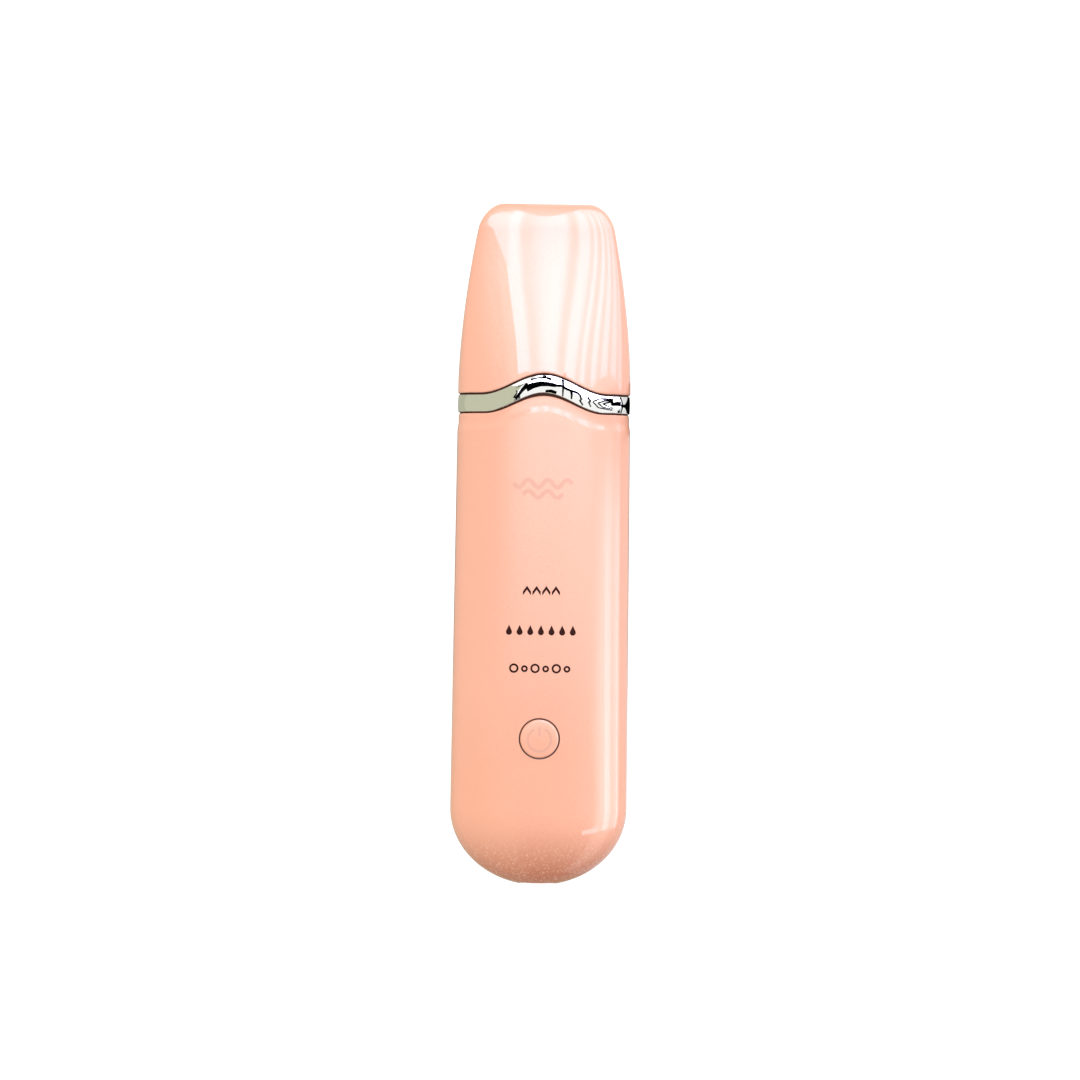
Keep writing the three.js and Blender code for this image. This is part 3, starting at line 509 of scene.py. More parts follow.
BAND_CROWN = 0.4  # how much lower the band's edges lie than its middle
BAND_SUNK = 0.05  # how far in its middle lies
BAND_LIP = 0.28  # how far its edges are rounded down
BAND_LIP_SHARE = 0.06  # the share of its width that each rounding takes
BAND_EDGE_GAP = 0.1  # how much further the band keeps from its neighbours than the seam gap's half
HUMP_GAP = 0.34  # the gap is wider by this under the hump
HUMP_GAP_REACH = 17.0
GASKET_FREE = 0.02  # the gaskets keep this far from the parts beside them
GASKET_DEEP = 0.45


def band_low(x):
    return low_edge(x) + SEAM_GAP / 2 + BAND_EDGE_GAP + HUMP_GAP * wave(x, (1.0, HUMP_GAP_REACH))


def band_high(x):
    return high_edge(x) - SEAM_GAP / 2 - BAND_EDGE_GAP


def band_crown(share):
    return BAND_SUNK + BAND_CROWN * (2 * share - 1) ** 2


def chrome_band():
    columns = Columns(160, 100)
    # the crown dies away round the two sides
    level = np.concatenate([ease(np.sin(columns.front) / 0.45), ease((1 - np.abs(columns.back)) / 0.3)])
    edge = BAND_LIP_SHARE
    lip = [(edge * (1 - math.cos(turn)), band_crown(edge) + BAND_LIP * (1 - math.sin(turn)))
           for turn in np.linspace(0, math.pi / 2, 7)[:-1]]
    profile = lip + [(share, band_crown(share)) for share in np.linspace(edge, 1 - edge, 26)]
    profile += [(1 - share, inset) for share, inset in lip[::-1]]
    profile += [(1.0, 0.1 + BAND_THICK), (0.0, 0.1 + BAND_THICK)]
    rings = []
    for share, inset in profile:
        flatter = (1 - level) * 0.7 * BAND_CROWN * (2 * share - 1) ** 2
        rings.append(columns.along_edge(lambda x: mix(band_low(x), band_high(x), share), inset - flatter))
    return tube_piece("chrome_band_fine", rings, loop=True, smooth=40)


def gasket(name, low, high, inset):
    """A dark seal that fills the gap between two edges beside the band, below their surfaces; its dark brown
    is painted shade for the gap.
    """
    columns = Columns(120, 80)
    rings = [columns.along_edge(lambda x: edge(x) + free, inset + deep)
             for edge, free, deep in ((low, GASKET_FREE, 0), (high, -GASKET_FREE, 0),
                                      (high, -GASKET_FREE, GASKET_DEEP), (low, GASKET_FREE, GASKET_DEEP))]
    return tube_piece(name, rings, loop=True)


def protective_cap():
    columns = Columns(160, 90)
    start = BAND_HIGH_Y + SEAM_GAP / 2 + EDGE_R

    def ring(share, inset):
        """A ring at a share of the way to the tip. The hump dies away along it."""
        hump = float(ease(1 - share / 0.45))
        return columns.along_edge(lambda x: mix(start, TIP_Y, share) + hump * wave(x, BAND_HIGH_HUMP), inset)

    rings = [columns.along_edge(lambda x: cap_edge(x) + along, inward)
             for along, inward in quarter_round(EDGE_R, 6)[::-1]]
    rings += [ring(share, 0.0) for share in np.linspace(0, 1, 70)[1:]]
    rings += [columns.points(TIP_Y + TIP_ROUND * math.cos(turn), 0.0)
              for turn in np.linspace(math.pi / 2, 0.02, 20)[1:]]
    inner = [columns.points(TIP_Y + (TIP_ROUND - CAP_WALL) * math.cos(turn), CAP_WALL)
             for turn in np.linspace(0.03, math.pi / 2, 12)]
    inner += [ring(share, CAP_WALL) for share in np.linspace(1, 0, 40)[1:]]
    inner.append(columns.along_edge(cap_edge, CAP_WALL))
    cols = columns.count
    first = len(rings) * cols
    faces = [*ring_faces(len(rings), cols), range(first - cols, first),
             *ring_faces(len(inner), cols, start=first), range(first + cols - 1, first - 1, -1),
             *joined(0, first + (len(inner) - 1) * cols, cols)]
    return mesh_piece("protective_cap_fine", np.concatenate(rings + inner), faces, 40)


def power_button():
    low = box_mm("power_button")[0][2]
    stem_r, flange_r, flange_low, flange_high = 1.6, 6, 14.6, 15.3
    face = BUTTON_TOP - BUTTON_SUNK
    rim = [(BUTTON_R - inward, face - down)
           for inward, down in ((0, 0.42), (0.02, 0.3), (0.09, 0.18), (0.2, 0.1), (0.36, 0.055), (0.6, 0.03),
                                (1.0, 0.012), (2.0, -0.002), (3.0, -0.012), (4.0, -0.02))]
    profile = [(0, low), (stem_r, low), (stem_r, flange_low), (flange_r, flange_low), (flange_r, flange_high),
               (BUTTON_R, flange_high), *rim, (0, face + 0.025)]
    return turned("power_button_fine", profile, 128, centre=BUTTON[:2], smooth=40)


# ---- nose, blade and seal

SLEEVE_Y = 39.6  # the fine nose starts here, where the sleeve ends
NOSE_FRONT_Y = 57.0
NOSE_TAPER_Y = 42.0
NOSE_EDGE_R = 0.7
NOSE_SIDES_IN, NOSE_FRONT_IN, NOSE_BACK_IN = 2.6, 3.6, 0.8  # how far the nose is drawn in at its end
SLOT_Z = 6.0
BLADE_Z = 6.05
BLADE_TIP_Y = box_mm("blade")[1][1]
BLADE_TIP_R = 3.0
BLADE_THICK = 0.8
BLADE_EDGE_R = 0.25


def nose_ring(columns, y, inset):
    """The ring of the nose's surface at y: the cap's inside, drawn in towards the blade."""
    ring = columns.points(y, CAP_WALL + NOSE_FIT + inset)
    u = float(np.clip((y - NOSE_TAPER_Y) / (NOSE_FRONT_Y - NOSE_TAPER_Y), 0, 1))
    seam, front, back = (float(v) for v in heights(y, 0))
    ring[:, 0] *= 1 - NOSE_SIDES_IN * u ** 2 / float(half_width(y, 0))
    lower = np.where(ring[:, 2] > seam, NOSE_FRONT_IN * u ** 1.6 / front, NOSE_BACK_IN * u ** 1.6 / back)
    ring[:, 2] = seam + (ring[:, 2] - seam) * (1 - lower)
    return ring


def nose_form(name, inset, from_y, to_y, columns, edge=0.0):
    """The nose's closed form between two places, with a rounded front edge."""
    rings = [nose_ring(columns, y, inset) for y in np.linspace(from_y, to_y - edge, 28)]
    for along, inward in quarter_round(edge, 8)[1:] if edge else []:
        rings.append(nose_ring(columns, to_y - along, inset + inward))
    return tube_piece(name, rings)


def nose_housing():
    """The front of the nose is fine; the sleeve behind it, hidden in the band, is the CAD model's own."""
    fine, coarse = Columns(140, 90), Columns(64, 48)
    piece = boolean(nose_form("nose_housing_fine", 0.0, SLEEVE_Y, NOSE_FRONT_Y, fine, NOSE_EDGE_R),
                    nose_form("deep", SKIN, SLEEVE_Y - 1.6, NOSE_FRONT_Y - SKIN, coarse))
    core_y = SLEEVE_Y + 0.1
    keep = nose_form("core", SKIN - OVERLAP, core_y, NOSE_FRONT_Y - SKIN + OVERLAP, coarse)
    boolean(keep, blocks("behind", ((-40, 0, -5), (40, core_y, 40))), "UNION")
    boolean(piece, boolean(cad_copy("nose_housing", "inside"), keep, "INTERSECT"), "UNION")
    slot = [(50, 0.0), (NOSE_FRONT_Y - 0.4, 0.0), (NOSE_FRONT_Y - 0.1, -0.12), (60, -0.42)]
    boolean(piece, rounded_bar("slot", 13.5, 1.4, 1.3, slot, SLOT_Z))
    smooth_by_angle(piece, 30)
    return piece


def blade_height(y):
    return BLADE_Z - 0.85 * ease((y - 59) / 12) + 1.1 * ease((y - 72) / 14)


def blade_half_width(y):
    flare = mix(8, 10, ease((y - 50) / 8)) + 2.6 * ease((y - 58) / 24)
    return flare - BLADE_TIP_R * (1 - quarter_ellipse((y - BLADE_TIP_Y + BLADE_TIP_R) / BLADE_TIP_R))


def blade():
    round_y = BLADE_TIP_Y - BLADE_TIP_R
    stations = [*np.linspace(40.5, round_y, 60)]
    stations += [round_y + BLADE_TIP_R * math.sin(t) for t in np.linspace(0.1, math.pi / 2 - 0.02, 14)]
    rings = []
    for y in stations:
        half, z = float(blade_half_width(y)), float(blade_height(y))
        thick = BLADE_THICK / 2 * (1 - 0.6 * float(ease((y - BLADE_TIP_Y + 5) / 5)))
        edge = BLADE_EDGE_R * thick / (BLADE_THICK / 2)
        side = [(half - edge * (1 - math.cos(turn)), thick * math.sin(turn))
                for turn in np.linspace(0, math.pi / 2, 5)]
        over = side + [(x, thick) for x in np.linspace(half - 0.6, -half + 0.6, 24)]
        over += [(-x, h) for x, h in side[::-1]]
        ring = over + [(x, -h) for x, h in over[::-1][1:-1]]
        rings.append(np.array([(x, y, z + h) for x, h in ring]))
    piece = tube_piece("blade_fine", rings, smooth=40)
    for x in (-5, 5):
        boolean(piece, turned("hole", [(0, 4), (1.15, 4), (1.15, 8), (0, 8)], 48, centre=(x, 46.5)))
    smooth_by_angle(piece, 40)
    return piece


def blade_seal():
    plug = rounded_bar("blade_seal_fine", 13.3, 1.22, 1.1, [(54.2, 0), (57.4, 0)], SLOT_Z, steps=10)
    lip = [(NOSE_FRONT_Y + out, inset)
           for out, inset in ((0.15, 0.15), (0.3, 0), (0.8, 0), (1.05, 0.08), (1.22, 0.25), (1.3, 0.5))]
    boolean(plug, rounded_bar("lip", 14.3, 1.9, 1.6, lip, SLOT_Z, steps=12), "UNION")
    half = BLADE_THICK / 2 + 0.15
    boolean(plug, blocks("slit", ((-10.4, 50, BLADE_Z - half), (10.4, 60, BLADE_Z + half))))
    smooth_by_angle(plug, 40)
    return plug


# ---- printed marks

PRINT = 0.03  # thickness of a printed mark
PRINT_LIFT = 0.006
PRINT_CELL = 0.66  # the marks are cut this fine, so that they follow the surface


def button_face(x, y):
    face = BUTTON_TOP - BUTTON_SUNK
    return face + 0.02 - 0.0025 * np.hypot(x - BUTTON[0], y - BUTTON[1])


def marks(name, outlines, surface):
    """Thin printed shapes that follow a surface. outlines are closed loops of [x, y]."""
    bm = bmesh.new()
    for loop in outlines:
        bm.faces.new([bm.verts.new((x, y, 0)) for x, y in loop])
    for axis in (Vector((1, 0, 0)), Vector((0, 1, 0))):
        values = [v.co.dot(axis) for v in bm.verts]
        for at in np.arange(math.floor(min(values)), max(values), PRINT_CELL):
            everything = bm.verts[:] + bm.edges[:] + bm.faces[:]
            bmesh.ops.bisect_plane(bm, geom=everything, plane_co=at * axis, plane_no=axis, dist=1e-4)
    bmesh.ops.triangulate(bm, faces=bm.faces[:])
    top = bm.faces[:]
    bmesh.ops.recalc_face_normals(bm, faces=top)
    made = bmesh.ops.extrude_face_region(bm, geom=top)
    lifted = {v for v in made["geom"] if isinstance(v, bmesh.types.BMVert)}
    for v in bm.verts:
        z = float(surface(v.co.x, v.co.y)) + PRINT_LIFT
        v.co.z = z + (PRINT / 2 if v in lifted else -PRINT / 2)
        v.co *= MM
    bmesh.ops.recalc_face_normals(bm, faces=bm.faces)
    mesh = bpy.data.meshes.new(name)
    bm.to_mesh(mesh)
    bm.free()
    return new_object(name, mesh)


def spread(count, pitch):
    """Places in a row, the same to both sides of the middle."""
    return [(i - (count - 1) / 2) * pitch for i in range(count)]


def arc(cx, cy, r, first, last, steps):
    """Points on an arc, in degrees."""
    turns = np.radians(np.linspace(first, last, steps + 1))
    return [(cx + r * math.cos(turn), cy + r * math.sin(turn)) for turn in turns]


def stroke(points, width):
    """The outline of a line of constant width through points."""
    p = np.array(points, float)
    across = sideways(p) * width / 2
    return [tuple(q) for q in np.concatenate([p + across, (p - across)[::-1]])]


def sideways(points):
    """The unit vectors square to a line through points in plan."""
    along = np.gradient(points, axis=0)
    along /= np.linalg.norm(along, axis=1)[:, None]
    return np.stack([-along[:, 1], along[:, 0]], axis=1)


def ring_parts(cx, cy, r, width, first=0, last=360):
    """A circle's line in two halves, so that each outline is simple."""
    middle = (first + last) / 2
    return [stroke(arc(cx, cy, r, *turns, 40), width) for turns in ((first, middle), (middle, last))]


def chevrons(y, height=2.5, half=1.05, width=0.62):
    top, foot, drop = y + height / 2, y - height / 2 + width * 1.6, width * 1.6
    return [[(x - half, foot), (x, top), (x + half, foot), (x + half, foot - drop), (x, top - drop),
             (x - half, foot - drop)] for x in spread(4, 2.5)]


def droplets(y, height=2.6, r=0.78):
    return [[(x, y + height / 2), *arc(x, y - height / 2 + r, r, 160, 380, 22)] for x in spread(7, 2.75)]


def bubbles(y, r=1.22, width=0.5):
    shapes = []
    for i, x in enumerate(spread(6, 2.75)):
        size = r if i % 2 == 0 else r * 0.72
        shapes += ring_parts(x, y - (r - size) * 0.3, size - width / 2, width)
    return shapes


def waves(y):
    """Two rows of a plain wave."""
    shapes = []
    for up, half, amp in ((1.4, 7.6, 1.0), (-1.4, 5.2, 0.9)):
        xs = np.linspace(-half, half, 60)
        shapes.append(stroke([(x, y + up + amp * math.sin(x * 1.25)) for x in xs], 1.05))
    return shapes


def power_symbol():
    x, y = BUTTON[:2]
    width = 0.62
    left, right, low, high = x - width / 2, x + width / 2, y + 0.9, y + 3.1
    bar = [(left, low), (right, low), (right, high), (left, high)]
    return [*ring_parts(x, y - 0.25, 3.0, width, 116, 424), bar]


# ---- small parts


def pan_screw(node):
    """A small screw along Z: its head, with a cross recess, at the lower end."""
    (x0, _, z0), (x1, _, z1) = box_mm(node)
    x, y = centre_mm(node)[:2]
    r, head, shank, point = (x1 - x0) / 2, 1.4, 0.95, 0.35
    dome = [(r * share, z0 + up)
            for share, up in ((0.45, 0.03), (0.72, 0.1), (0.88, 0.26), (0.97, 0.52), (1, 0.85), (1, head))]
    profile = [(0, z0 + 0.02), *dome, (shank, z0 + head), (shank, z1 - 0.6), (point, z1), (0, z1)]
    piece = turned(f"{node}_fine", profile, 64, centre=(x, y), smooth=40)
    arm, half, depth = r * 0.62, 0.24, head * 0.55
    for hx, hy in ((arm, half), (half, arm)):
        boolean(piece, blocks("slot", ((x - hx, y - hy, z0 - 1), (x + hx, y + hy, z0 + depth))))
    smooth_by_angle(piece, 35)
    return piece


def usb_socket():
    (_, y0, _), (_, y1, _) = box_mm("usb_socket")
    outer = bar_round("usb_socket_fine", "usb_socket", (0, 0), 1.2,
                      [(y0, 0.12), (y0 + 0.05, 0.04), (y0 + 0.12, 0), (y1, 0)])
    return boolean(outer, bar_round("bore", "usb_socket", (-0.35, -0.35), 0.85,
                                    [(y0 - 1, -0.1), (y0, -0.1), (y0 + 0.1, 0), (y1 - 0.8, 0)]))


def usb_tongue():
    (_, y0, _), (_, y1, _) = box_mm("usb_tongue")
    stations = [(y0, 0.12), (y0 + 0.1, 0.02), (y0 + 0.2, 0), (y1, 0)]
    return bar_round("usb_tongue_fine", "usb_tongue", (0, 0), 0.12, stations, steps=3)


def usb_contacts():
    (_, y0, z0), (_, y1, z1) = box_mm("usb_tongue")
    return blocks("usb_contacts", *(((x - 0.13, y0 + 0.45, z - 0.02), (x + 0.13, y1 - 0.6, z + 0.02))
                                    for x in spread(12, 0.5) for z in (z0 - 0.012, z1 + 0.012)))


# ---- materials


class Material:
    """A Principled material with a few helpers. Its patterns are in millimetres of the row frame."""

    def __init__(self, name, colour, roughness=0.5, metallic=0.0, **sockets):
        self.name = name
        self.material = bpy.data.materials.new(name)
        self.material.use_nodes = True
        self.material.diffuse_color = (*colour, 1)
        self.tree = self.material.node_tree
        self.shader = self.tree.nodes["Principled BSDF"]
        self.coordinates = None
        self.set(Base_Color=colour, Roughness=roughness, Metallic=metallic, **sockets)

    def feed(self, node, socket, value):
        """Gives a node's socket a number, a colour or another node's output."""
        target = node.inputs[socket]
        if isinstance(value, bpy.types.NodeSocket):
            self.tree.links.new(value, target)
        else:
            target.default_value = (*value, 1) if target.type == "RGBA" else value

    def set(self, **sockets):
        """Feeds the shader's own sockets."""
        for socket, value in sockets.items():
            self.feed(self.shader, socket.replace("_", " "), value)

    def node(self, kind, inputs=(), **settings):
        """The outputs of a new node. inputs maps its sockets to what they are fed."""
        node = self.tree.nodes.new("ShaderNode" + kind)
        for key, value in settings.items():
            setattr(node, key, value)
        for socket, value in dict(inputs).items():
            self.feed(node, socket, value)
        return node.outputs

    def show(self, output):
        """Makes an output the whole surface's."""
        self.feed(self.tree.nodes["Material Output"], "Surface", output)

    def place(self, scale=(1, 1, 1)):
        """The place on the object, with each axis scaled."""
        if self.coordinates is None:
            self.coordinates = self.node("TexCoord")["Object"]
        return self.node("Mapping", {"Vector": self.coordinates, "Scale": [s / MM for s in scale]})[0]

    def axes(self):
        """X, Y and Z of the place on the object."""
        return self.node("SeparateXYZ", {0: self.place()})

    def noise(self, scale, detail=3.0, stretch=(1, 1, 1)):
        """A noise with features of about 1/scale millimetres."""
        inputs = {"Vector": self.place(stretch), "Scale": scale, "Detail": detail}
        return self.node("TexNoise", inputs)["Fac"]

    def cells(self, scale):
        """A colour of its own for each of many small cells."""
        return self.node("TexVoronoi", {"Vector": self.place(), "Scale": scale}, feature="F1")["Color"]

    def math(self, operation, *values):
        return self.node("Math", enumerate(values), operation=operation)[0]

    def vector(self, operation, *values):
        return self.node("VectorMath", enumerate(values), operation=operation)[0]

    def mix_colour(self, factor, a, b, blend="MIX"):
        return self.node("Mix", {0: factor, 6: a, 7: b}, data_type="RGBA", blend_type=blend)[2]

    def span(self, value, from_low, from_high, to_low=0.0, to_high=1.0, smooth=False):
        kind = "SMOOTHSTEP" if smooth else "LINEAR"
        values = (value, from_low, from_high, to_low, to_high)
        return self.node("MapRange", enumerate(values), interpolation_type=kind)[0]

    def bump(self, height, strength, distance):
        inputs = {"Height": height, "Strength": strength, "Distance": distance * MM}
        self.set(Normal=self.node("Bump", inputs)["Normal"])

    def vary(self, colour, other, scale, stretch=(1, 1, 1)):
        """The base colour drifts between two colours."""
        self.set(Base_Color=self.mix_colour(self.noise(scale, stretch=stretch), colour, other))


def dimmed(share, colour=(1, 1, 1)):
    return tuple(share * c for c in colour)


PEARL = (0.94, 0.44, 0.30)
PEARL_DRIFT = (0.93, 0.425, 0.287)
PEARL_WARM = (0.925, 0.412, 0.262)
PEARL_BUTT_SHADE = (0.58, 0.166, 0.076)
PEARL_PAINTED_GLINT = (1.0, 0.62, 0.46)
SLEEVE_GAP_SHADE = (0.06, 0.018, 0.008)
BUTTON_GAP_SHADE = (0.15, 0.035, 0.012)
FLAKE_TILT = 0.12


def pearl_plastic():
    """Peach plastic with fine pearl flakes under a clear gloss, with painted shade at the butt end and in the
    gap round the button, and painted glints at the butt end.
    """
    m = Material("pearl_plastic", PEARL, 0.42, 0.0, Specular_IOR_Level=0.9, Coat_Weight=1.0,
                 Coat_Roughness=0.03, Coat_IOR=1.5)
    x, y, z = m.axes()
    warm = m.span(y, -32.0, BUTT_Y + 4.0, smooth=True)
    even = m.mix_colour(warm, m.mix_colour(m.noise(0.05, 2.0), PEARL, PEARL_DRIFT), PEARL_WARM)
    # painted shade and painted glints: the butt end is painted a deeper, darker colour, and bright flake
    # glints are painted into it
    deep = m.mix_colour(m.span(y, BUTT_Y - 4.0, BUTT_Y - 22.0, smooth=True), even, PEARL_BUTT_SHADE)
    glint_cells = m.span(m.node("SeparateColor", {0: m.cells(3.4)})[0], 0.80, 0.97)
    glint_share = m.span(y, BUTT_Y - 5.0, BUTT_Y - 12.0, 0.0, 0.55, smooth=True)
    base = m.mix_colour(m.math("MULTIPLY", glint_cells, glint_share), deep, PEARL_PAINTED_GLINT)
    # each flake lies a little askew under the clear coat
    centred = m.vector("SUBTRACT", m.cells(5.0), (0.5, 0.5, 0.5))
    askew = m.node("VectorMath", {0: centred, "Scale": FLAKE_TILT}, operation="SCALE")[0]
    tilted = m.vector("ADD", m.node("NewGeometry")["Normal"], askew)
    m.set(Normal=m.vector("NORMALIZE", tilted))
    # painted shade: the narrow gap round the button is painted dark brown all the way down
    dy = m.math("SUBTRACT", y, float(BUTTON[1]))
    r = m.math("SQRT", m.math("ADD", m.math("MULTIPLY", x, x), m.math("MULTIPLY", dy, dy)))
    off = m.math("ABSOLUTE", m.math("SUBTRACT", r, (BUTTON_R + BUTTON_HOLE_R) / 2))
    near = m.math("LESS_THAN", off, (BUTTON_HOLE_R - BUTTON_R) / 2 + 0.012)
    gap = m.math("MULTIPLY", near, m.math("LESS_THAN", z, BUTTON_TOP - 0.3))
    m.set(Base_Color=m.mix_colour(gap, base, BUTTON_GAP_SHADE))
    return m


def nose_plastic():
    """White plastic, with painted shade: dark brown where it shows through the narrow gaps beside the band.
    """
    m = Material("nose_plastic", (0.86, 0.80, 0.76), 0.35)
    base = m.mix_colour(m.noise(0.15), (0.88, 0.82, 0.78), (0.84, 0.77, 0.73))
    # painted shade: the sleeve is painted dark brown up to just past the band's edge towards the tip
    x, y, _ = m.axes()
    height, reach = BAND_HIGH_HUMP
    inside = m.math("MINIMUM", m.math("ABSOLUTE", x), reach)
    bend = m.math("COSINE", m.math("MULTIPLY", inside, math.pi / reach))
    edge = m.math("MULTIPLY_ADD", bend, height / 2, BAND_HIGH_Y + height / 2 + 0.4)
    m.set(Base_Color=m.mix_colour(m.math("LESS_THAN", y, edge), base, SLEEVE_GAP_SHADE))
    return m


def metal(name, colour, roughness, other=None, stretch=(1, 1, 1), scale=2.0, bump=0.0):
    m = Material(name, colour, roughness, 1.0)
    m.vary(colour, other or dimmed(0.93, colour), scale, stretch)
    if bump:
        m.bump(m.noise(scale * 2, stretch=stretch), bump, 0.01)
    return m


def plastic(name, colour, roughness, other=None, scale=0.6, bump=0.0, **sockets):
    m = Material(name, colour, roughness, 0.0, **sockets)
    m.vary(colour, other or dimmed(0.9, colour), scale)
    if bump:
        m.bump(m.noise(8.0), bump, 0.02)
    return m


def circuit_board():
    m = Material("circuit_board", (0.02, 0.12, 0.06), 0.3, 0.0, Coat_Weight=0.4, Coat_Roughness=0.1)
    bricks = {"Vector": m.place(), "Scale": 0.35, "Mortar Size": 0.06, "Color1": (0.018, 0.11, 0.055),
              "Color2": (0.022, 0.13, 0.062), "Mortar": (0.04, 0.20, 0.09)}
    m.set(Base_Color=m.node("TexBrick", bricks)["Color"])
    return m


MATERIALS = {made.name: made for made in (
    pearl_plastic(),
    metal("chrome_plate", (0.93, 0.93, 0.91), 0.035, (0.91, 0.91, 0.89), scale=0.3),
    nose_plastic(),
    metal("blade_steel", (0.62, 0.62, 0.63), 0.24, stretch=(6, 0.15, 6), scale=2.5, bump=0.15),
    metal("screw_steel", (0.55, 0.55, 0.56), 0.3, scale=1.5),
    plastic("silicone", (0.74, 0.68, 0.64), 0.6, bump=0.1),
    metal("aluminium", (0.66, 0.67, 0.68), 0.38, stretch=(0.3, 4, 0.3)),
    plastic("piezo_ceramic", (0.60, 0.55, 0.44), 0.55, bump=0.2),
    metal("contact_brass", (0.75, 0.55, 0.25), 0.3),
    circuit_board(),
    plastic("black_plastic", (0.012, 0.012, 0.014), 0.45, (0.018, 0.018, 0.02), bump=0.1),
    plastic("diffuser", (0.86, 0.84, 0.79), 0.4, scale=0.3),
    plastic("white_plastic", (0.84, 0.82, 0.78), 0.42),
    plastic("ferrite", (0.04, 0.04, 0.045), 0.55, bump=0.3),
    metal("copper_wire", (0.72, 0.32, 0.16), 0.3, stretch=(1, 1, 6), bump=0.2),
    metal("battery_film", (0.52, 0.54, 0.57), 0.32, scale=0.5, bump=0.2),
    plastic("foam", (0.09, 0.09, 0.1), 0.95, bump=0.5),
    plastic("red_insulation", (0.45, 0.015, 0.012), 0.45),
    plastic("black_insulation", (0.015, 0.015, 0.016), 0.45),
)}
PRINT_BROWN = plastic("label_print", (0.028, 0.003, 0.001), 0.6, scale=2.0, Specular_IOR_Level=0.15)
# painted shade: the gaskets' dark brown stands in for the shade in the gaps beside the band
GASKET_GAP_SHADE = plastic("gasket_gap_shade", (0.045, 0.014, 0.008), 0.7, Specular_IOR_Level=0.2)
GHOST_PRINT = plastic("ghost_print", (0.78, 0.385, 0.285), 0.34, (0.80, 0.40, 0.30), scale=2.0,
                      Coat_Weight=0.6, Coat_Roughness=0.05)


def dress(piece, slot, body, *nodes, material=None):
    """Gives a piece its material, which is its slot's unless another is given, and its body, and lets it
    stand for CAD nodes.
    """
    piece.data.materials.clear()
    piece.data.materials.append((material or MATERIALS[slot]).material)
    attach(piece, body)
    if nodes:
        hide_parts(*nodes)


# ---- the object

dress(shell_piece("front_shell", True), "pearl_plastic", "handle", "front_shell")
dress(shell_piece("rear_shell", False), "pearl_plastic", "handle", "rear_shell")
dress(chrome_band(), "chrome_plate", "handle", "chrome_band")
dress(gasket("band_gasket_rear", shell_edge, band_low, 0.58), "silicone", "handle", material=GASKET_GAP_SHADE)
dress(gasket("band_gasket_front", band_high, cap_edge, 0.44), "silicone", "handle", material=GASKET_GAP_SHADE)
dress(protective_cap(), "pearl_plastic", "cap", "protective_cap")
dress(power_button(), "pearl_plastic", "button", "power_button")
dress(nose_housing(), "nose_plastic", "handle", "nose_housing")
dress(blade(), "blade_steel", "handle", "blade")
dress(blade_seal(), "silicone", "handle", "blade_seal")
for screw in SHELL_SCREWS:
    dress(pan_screw(screw), "screw_steel", "handle", screw)
dress(usb_socket(), "screw_steel", "handle", "usb_socket")
dress(usb_tongue(), "black_plastic", "handle", "usb_tongue")
dress(usb_contacts(), "contact_brass", "handle")

for place, shape, y in zip(("upper", "middle", "lower"), (chevrons, droplets, bubbles), LABEL_Y):
    label = marks(f"mode_mark_{place}", shape(y), front_height)
    dress(label, "pearl_plastic", "handle", material=PRINT_BROWN)
dress(marks("wave_mark", waves(14.2), front_height), "pearl_plastic", "handle", material=GHOST_PRINT)
dress(marks("power_mark", power_symbol(), button_face), "pearl_plastic", "button", material=GHOST_PRINT)

# the nodes that show as the CAD model made them get the same materials, by the names of their slots
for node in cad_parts.values():
    if not node.hide_render:
        node_slot = node.data.materials[0].name.split(".")[0]
        node.data.materials.clear()
        node.data.materials.append(MATERIALS[node_slot].material)
        smooth_by_angle(node, 30)

# ---- studio: helpers

GREY_GREEN = (0.58, 0.59, 0.44)
DAYLIGHT = (0.90, 0.94, 1.12)
WINDOW_BLUE = (0.90, 0.90, 1.2)
FAR = 1500  # height of the level cards overhead
CAMERA_Z = 909
WIRE_Z = 19.4  # the flags over the band lie just above its highest place


class Glow(Material):
    """A plain light-giving surface. Its patterns use the same helpers as the object's materials."""

    def __init__(self, name, radiance, colour=(1, 1, 1)):
        super().__init__(name, (0, 0, 0), 1.0)
        self.tree.nodes.remove(self.shader)
        self.shader = self.tree.nodes.new("ShaderNodeEmission")
        self.set(Strength=radiance, Color=colour)
        self.show(self.shader.outputs[0])

    def ramp(self, axis, height, stops):
        """A colour that changes along one axis of a level card. stops are (lean, colour)."""
        first, last = stops[0][0], stops[-1][0]
        node = self.tree.nodes.new("ShaderNodeValToRGB")
        self.feed(node, 0, self.span(self.axes()[axis], first * height, last * height))
        elements = node.color_ramp.elements
        while len(elements) < len(stops):
            elements.new(0.5)
        for element, (lean, colour) in zip(elements, stops):
            element.position = (lean - first) / (last - first)
            element.color = (*colour, 1)
        return node.outputs[0]


dark = Glow("camera_flag", 0.0)


def card(name, grid, glow, rows_each=None):
    """A reflector or flag through a grid of points, or one for each few rows of the grid.

    It shows only as a reflection, so that it neither hides the object nor lights its colour.
    """
    rows, cols = len(grid), len(grid[0])
    each = rows_each or rows
    faces = [face for first in range(0, rows, each)
             for face in ring_faces(each, cols, start=first * cols, closed=False)]
    piece = new_mesh(name, [point for row in grid for point in row], faces)
    piece.data.materials.append(glow.material)
    piece.visible_camera = False
    piece.visible_diffuse = False
    piece.visible_transmission = False
    piece.visible_volume_scatter = False
    piece.visible_shadow = False
    return piece


def sky_card(name, u_range, v_range, glow, steps=16):
    """A level card far overhead, from its leans to +X and +Y as seen from the middle of the object."""
    us, vs = np.linspace(*u_range, steps), np.linspace(*v_range, steps)
    card(name, [[(u * FAR, v * FAR, FAR) for u in us] for v in vs], glow)


